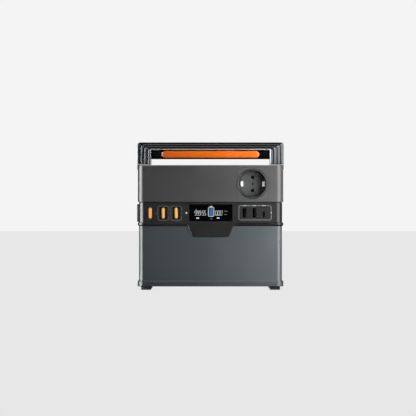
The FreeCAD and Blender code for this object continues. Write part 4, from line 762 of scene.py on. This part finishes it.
# ---------------------------------------------------------------------------
# Crowned pads and caps, socket clips, wells and contacts
# ---------------------------------------------------------------------------

CORNER_STEPS = 10
HAIR = 0.01 * MM


def crowned(work, width, tall, centre, levels, crown, steps=8):
    """A plate with round ends and a domed face. Levels are its back, its rim and the dome's top."""
    back, rim, top = levels
    reach = min(width, tall) / 2
    dome = reach * 0.94
    insets = [(0, back), (0, rim)]
    for i in range(1, steps + 1):
        share = i / steps
        insets.append((dome * share ** crown, rim + (top - rim) * math.sin(math.pi / 2 * share)))
    rings = []
    for inset, level in insets:
        radius = max(reach - inset - HAIR, HAIR)
        outline = rounded_outline(width - 2 * inset, tall - 2 * inset, radius, centre, CORNER_STEPS)
        rings.append(level_ring(work, outline, level))
    joined(work, rings)


def grip_inserts(finishes):
    """Soft orange inserts that swell out of the grip's front and rear faces."""
    rim, swell = 0.1 * MM, 1.6 * MM
    core_low, core_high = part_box("grip_core")
    for side, face in (("front", core_low.y), ("rear", core_high.y)):
        node = "grip_insert_" + side
        low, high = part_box(node)
        centre = ((low.x + high.x) / 2, (low.z + high.z) / 2)
        back, outward = (high.y, -1) if side == "front" else (low.y, 1)
        levels = (back, face + outward * rim, face + outward * swell)

        def insert(work):
            crowned(work, high.x - low.x, high.z - low.z, centre, levels, 2.2, steps=12)

        piece = add_piece(f"soft_insert_{side}", insert, finishes["grip_orange"])
        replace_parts(smooth(piece, 50), node)


def button_caps(finishes):
    """Domed amber caps, each with the square flange behind the panel that keeps it in."""
    rim, flange_thick, flange_corner, dome = 1.0 * MM, 1.2 * MM, 1.5 * MM, 0.9 * MM
    for name in ("button_light", "button_dc", "button_ac"):
        low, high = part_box(name)
        centre = ((low.x + high.x) / 2, (low.z + high.z) / 2)
        flange = high.y - flange_thick
        width, tall = high.x - low.x - 2 * rim, high.z - low.z - 2 * rim

        def cap(work):
            crowned(work, width, tall, centre, (flange, low.y + dome, low.y), 1.6)
            outline = rounded_outline(width + 2 * rim, tall + 2 * rim, flange_corner, centre)
            extruded(work, outline, flange, high.y)

        piece = add_piece(name + "_cap", cap, finishes["button_orange"], name)
        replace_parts(smooth(piece, 50), name)


def button_shade_wells(finishes):
    """A black frame in the well round each of the two output buttons: painted shade of the recess."""
    front, back = PANEL_FACE + 0.12 * MM, PANEL_FACE + 0.58 * MM
    width, tall, radius = 9.9 * MM, 18.5 * MM, 1.7 * MM
    hole_width, hole_tall = 4.7 * MM, 16.1 * MM

    def frames(work):
        for name in ("button_dc", "button_ac"):
            spot = middle(name)
            centre = (spot.x, spot.z)
            outer = rounded_outline(width, tall, radius, centre, CORNER_STEPS)
            inner = rounded_outline(hole_width, hole_tall, hole_width / 2 - HAIR, centre, CORNER_STEPS)
            turns = ((outer, front), (outer, back), (inner, back), (inner, front))
            rings = [level_ring(work, outline, level) for outline, level in turns]
            joined(work, rings + rings[:1], capped=False)

    add_piece("button_well_shade_frames", frames, finishes["tongue_plastic"])


def earth_clips(finishes):
    """Two springy strips that rise along the cup's wall and curl in, forked at the nose."""
    low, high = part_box("earth_clips")
    centre_x, centre_z = (low.x + high.x) / 2, (low.z + high.z) / 2
    floor, mouth = high.y, low.y
    reach = (high.x - low.x) / 2
    thick, half, fork_half = 0.55 * MM, 3.3 * MM, 1.1 * MM
    sole = nose = reach - 4.6 * MM
    curl, curl_steps = 2.2 * MM, 6
    taper, taper_from = 0.18, 0.8

    def profile():
        """The strip's middle line as (distance from the centre, Y), from its sole to its nose."""
        line = [
            (sole, floor - thick / 2),
            (reach - 1.2 * MM, floor - thick / 2),
            (reach - 0.5 * MM, floor - 1.0 * MM),
            (reach - thick / 2, mouth + curl),
        ]
        for i in range(1, curl_steps + 1):
            angle = math.pi / 2 * i / curl_steps
            away = reach - thick / 2 - curl * (1 - math.cos(angle))
            line.append((away, mouth + curl * (1 - math.sin(angle))))
        return line + [(nose, mouth + 0.5 * MM)]

    def sections(work, line, side):
        """For each point of the line, four vertices across one face and four across the other."""
        rows = []
        for i, (away, level) in enumerate(line):
            share = i / (len(line) - 1)
            half_here = half * (1 - taper * max(0, share - taper_from) / (1 - taper_from))
            before, after = line[max(i - 1, 0)], line[min(i + 1, len(line) - 1)]
            run = Vector((after[0] - before[0], after[1] - before[1])).normalized()
            across = Vector((-run.y, run.x)) * thick / 2
            row = []
            for sign in (-1, 1):
                spot = Vector((away, level)) + across * sign
                for z in (-half_here, -fork_half, fork_half, half_here):
                    row.append(work.verts.new((centre_x + side * spot.x, spot.y, centre_z + z)))
            rows.append(row)
        return rows

    def strips(work):
        line = profile()
        for side in (-1, 1):
            rows = sections(work, line, side)
            fork = len(rows) - 3
            for i, (row, following) in enumerate(zip(rows, rows[1:])):
                forked = i >= fork
                for j in (0, 2) if forked else (0, 1, 2):
                    work.faces.new((row[j], row[j + 1], following[j + 1], following[j]))
                    work.faces.new((row[j + 4], following[j + 4], following[j + 5], row[j + 5]))
                for j in (0, 1, 2, 3) if forked else (0, 3):
                    work.faces.new((row[j], following[j], following[j + 4], row[j + 4]))
            for row, columns in ((rows[0], (0, 1, 2)), (rows[fork], (1,)), (rows[-1], (0, 2))):
                for j in columns:
                    work.faces.new((row[j], row[j + 1], row[j + 5], row[j + 4]))

    tinned = brushed("clip_tin", srgb(244, 244, 240), 0.45, metallic=0.35)
    piece = add_piece("earth_clip_strips", strips, tinned)
    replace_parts(smooth(piece, 35), "earth_clips")


def usb_contacts(finishes):
    """Gilt strips on the tongues, and the sprung fingers of the two upright shells."""
    tongue_low, tongue_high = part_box("usb_a_tongues")
    shell_low, shell_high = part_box("usb_a_shells")
    tongue_wide, shell_wide, wall = 1.84 * MM, 5.82 * MM, 0.35 * MM
    level = (tongue_low.z + tongue_high.z) / 2

    def strips(work):
        """Four strips on the left face of each tongue."""
        pitch, tall, proud, corner = 2.3 * MM, 1.0 * MM, 0.1 * MM, 0.08 * MM
        front, back = tongue_low.y + 3 * MM, tongue_low.y + 8 * MM
        for face in (tongue_low.x, tongue_high.x - tongue_wide):
            for i in range(4):
                spot = (face - proud, level + (i - 1.5) * pitch)
                extruded(work, rounded_outline(2 * proud, tall, corner, spot, 3), front, back)

    add_piece("usb_contact_strips", strips, finishes["contact_brass"])

    def fingers(work):
        """Bent leaves along each shell's right wall."""
        half, thick, offset = 1.1 * MM, 0.15 * MM, 3.1 * MM
        mouth = shell_low.y + 0.6 * MM
        bends = ((0, 0), (1.2, 0.12), (3.2, 0.4), (5.0, 0))
        for edge in (shell_low.x + shell_wide, shell_high.x):
            for z in (level - offset, level + offset):
                rings = []
                for inward, bend in bends:
                    x, y = edge - wall - bend * MM, mouth + inward * MM
                    corners = ((x, -half), (x, half), (x - thick, half), (x - thick, -half))
                    rings.append([work.verts.new((spot, y, z + rise)) for spot, rise in corners])
                joined(work, rings)

    add_piece("usb_shell_fingers", fingers, finishes["shell_nickel"])


# ---------------------------------------------------------------------------
# Stage, lights and camera, in metres
# ---------------------------------------------------------------------------

FLOOR_TONE = srgb(231, 231, 231)
WALL_TONE = srgb(244, 244, 244)
WALL_RADIUS, WALL_TALL, WALL_STEPS = 12.7, 30, 96
WORLD_STRENGTH = 0.03
AIM = Vector((0, 0, 0.11))
CAMERA_DISTANCE = 5.0
CAMERA_CLIP = (0.05, 100)
SENSOR_MM = 36
CAMERA_X, CAMERA_Z = -3.6 * MM, 116.75 * MM
PICTURE_WIDTH = 0.5925


def only_glows(made, colour, strength):
    """Make a finish matt black, with light of its own."""
    made.set(Base_Color=PURE_BLACK, Roughness=1.0, Specular_IOR_Level=0.0)
    made.set(Emission_Color=colour, Emission_Strength=strength)
    return made.material


def stage_sheet(name, mesh_maker, material, hidden_from):
    """A thin sheet of the set, hidden from some kinds of rays."""
    work = bmesh.new()
    mesh_maker(work)
    sheet = new_object(name, work, material)
    for kind in hidden_from:
        setattr(sheet, "visible_" + kind, False)
    return sheet


def studio():
    """An even floor and wall that glow by themselves and cast no light, under a dim sky."""
    scene = bpy.context.scene
    scene.view_settings.view_transform = "Standard"
    scene.view_settings.look = "None"
    ring = circle_outline(WALL_RADIUS, (0, 0), WALL_STEPS)

    def floor_disc(work):
        work.faces.new([work.verts.new((x, y, 0)) for x, y in ring])

    def wall_drum(work):
        rings = [[work.verts.new((x, y, z)) for x, y in reversed(ring)] for z in (0, WALL_TALL)]
        joined(work, rings, capped=False)

    surfaces = (
        ("studio_floor", floor_disc, "floor_paper", FLOOR_TONE),
        ("studio_wall", wall_drum, "wall_paper", WALL_TONE),
    )
    for name, mesh_maker, paper, tone in surfaces:
        made = Finish(paper)
        grain = made.wander(made.noise(0.4, 4), 0.997, 1.003)
        material = only_glows(made, made.scaled(tone, grain), 1.0)
        stage_sheet(name, mesh_maker, material, ("diffuse", "glossy", "shadow"))
    world = bpy.data.worlds.new("studio_world")
    world.use_nodes = True
    background = world.node_tree.nodes["Background"]
    background.inputs["Color"].default_value = (1, 1, 1, 1)
    background.inputs["Strength"].default_value = WORLD_STRENGTH
    scene.world = world


def put_round(thing, azimuth, elevation, distance):
    """Place a lamp or card round the object and turn it to face it. Degrees: 0 in front, 90 at the left."""
    a, e = math.radians(azimuth), math.radians(elevation)
    way = Vector((-math.sin(a) * math.cos(e), -math.cos(a) * math.cos(e), math.sin(e)))
    thing.location = AIM + way * distance
    thing.rotation_mode = "QUATERNION"
    thing.rotation_quaternion = way.to_track_quat("Z", "Y")


def softbox(name, azimuth, elevation, distance, size, power):
    """An area light that doesn't show in reflections."""
    data = bpy.data.lights.new(name, "AREA")
    data.shape = "RECTANGLE"
    data.size, data.size_y = size
    data.energy = power
    lamp = bpy.data.objects.new(name, data)
    put_round(lamp, azimuth, elevation, distance)
    lamp.visible_camera = False
    lamp.visible_glossy = False
    bpy.context.scene.collection.objects.link(lamp)


def card(name, azimuth, elevation, distance, size, strength):
    """A glowing card that only shows in reflections."""
    half_wide, half_tall = size[0] / 2, size[1] / 2

    def sheet_mesh(work):
        corners = ((-1, -1), (1, -1), (1, 1), (-1, 1))
        work.faces.new([work.verts.new((x * half_wide, y * half_tall, 0)) for x, y in corners])

    material = only_glows(Finish(name + "_glow"), (1, 1, 1, 1), strength)
    material.cycles.emission_sampling = "NONE"
    sheet = stage_sheet(name, sheet_mesh, material, ("camera", "diffuse", "shadow"))
    put_round(sheet, azimuth, elevation, distance)


def lights():
    """Cards for the reflections at the corners and on top, a near key at the right, and soft fill."""
    card("left_card", 67, 4, 1.0, (0.9, 1.1), 14)
    card("right_card", -42, 4, 1.0, (0.9, 1.1), 5.2)
    card("top_card", 180, 78, 0.9, (1.0, 0.8), 5)
    softbox("near_key", -42, 5, 0.33, (0.14, 0.3), 1.95)
    softbox("front_fill", 0, 8, 1.5, (0.8, 0.8), 0.35)
    for name, azimuth in (("left_fill", 148), ("right_fill", -148)):
        softbox(name, azimuth, 15, 1.2, (1.0, 1.0), 10)


def camera():
    """A level camera far in front, so the sides stay hidden as with a long lens."""
    data = bpy.data.cameras.new("camera")
    data.sensor_width = SENSOR_MM
    data.lens = data.sensor_width * CAMERA_DISTANCE / PICTURE_WIDTH
    data.clip_start, data.clip_end = CAMERA_CLIP
    view = bpy.data.objects.new("camera", data)
    view.location = (CAMERA_X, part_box("upper_housing")[0].y - CAMERA_DISTANCE, CAMERA_Z)
    view.rotation_euler = (math.pi / 2, 0, 0)
    bpy.context.scene.collection.objects.link(view)
    bpy.context.scene.camera = view


finishes = make_finishes()
camera()
studio()
lights()
finish_cad(finishes)
display_pieces()
panel_prints()
grip_inserts(finishes)
button_caps(finishes)
button_shade_wells(finishes)
earth_clips(finishes)
usb_contacts(finishes)
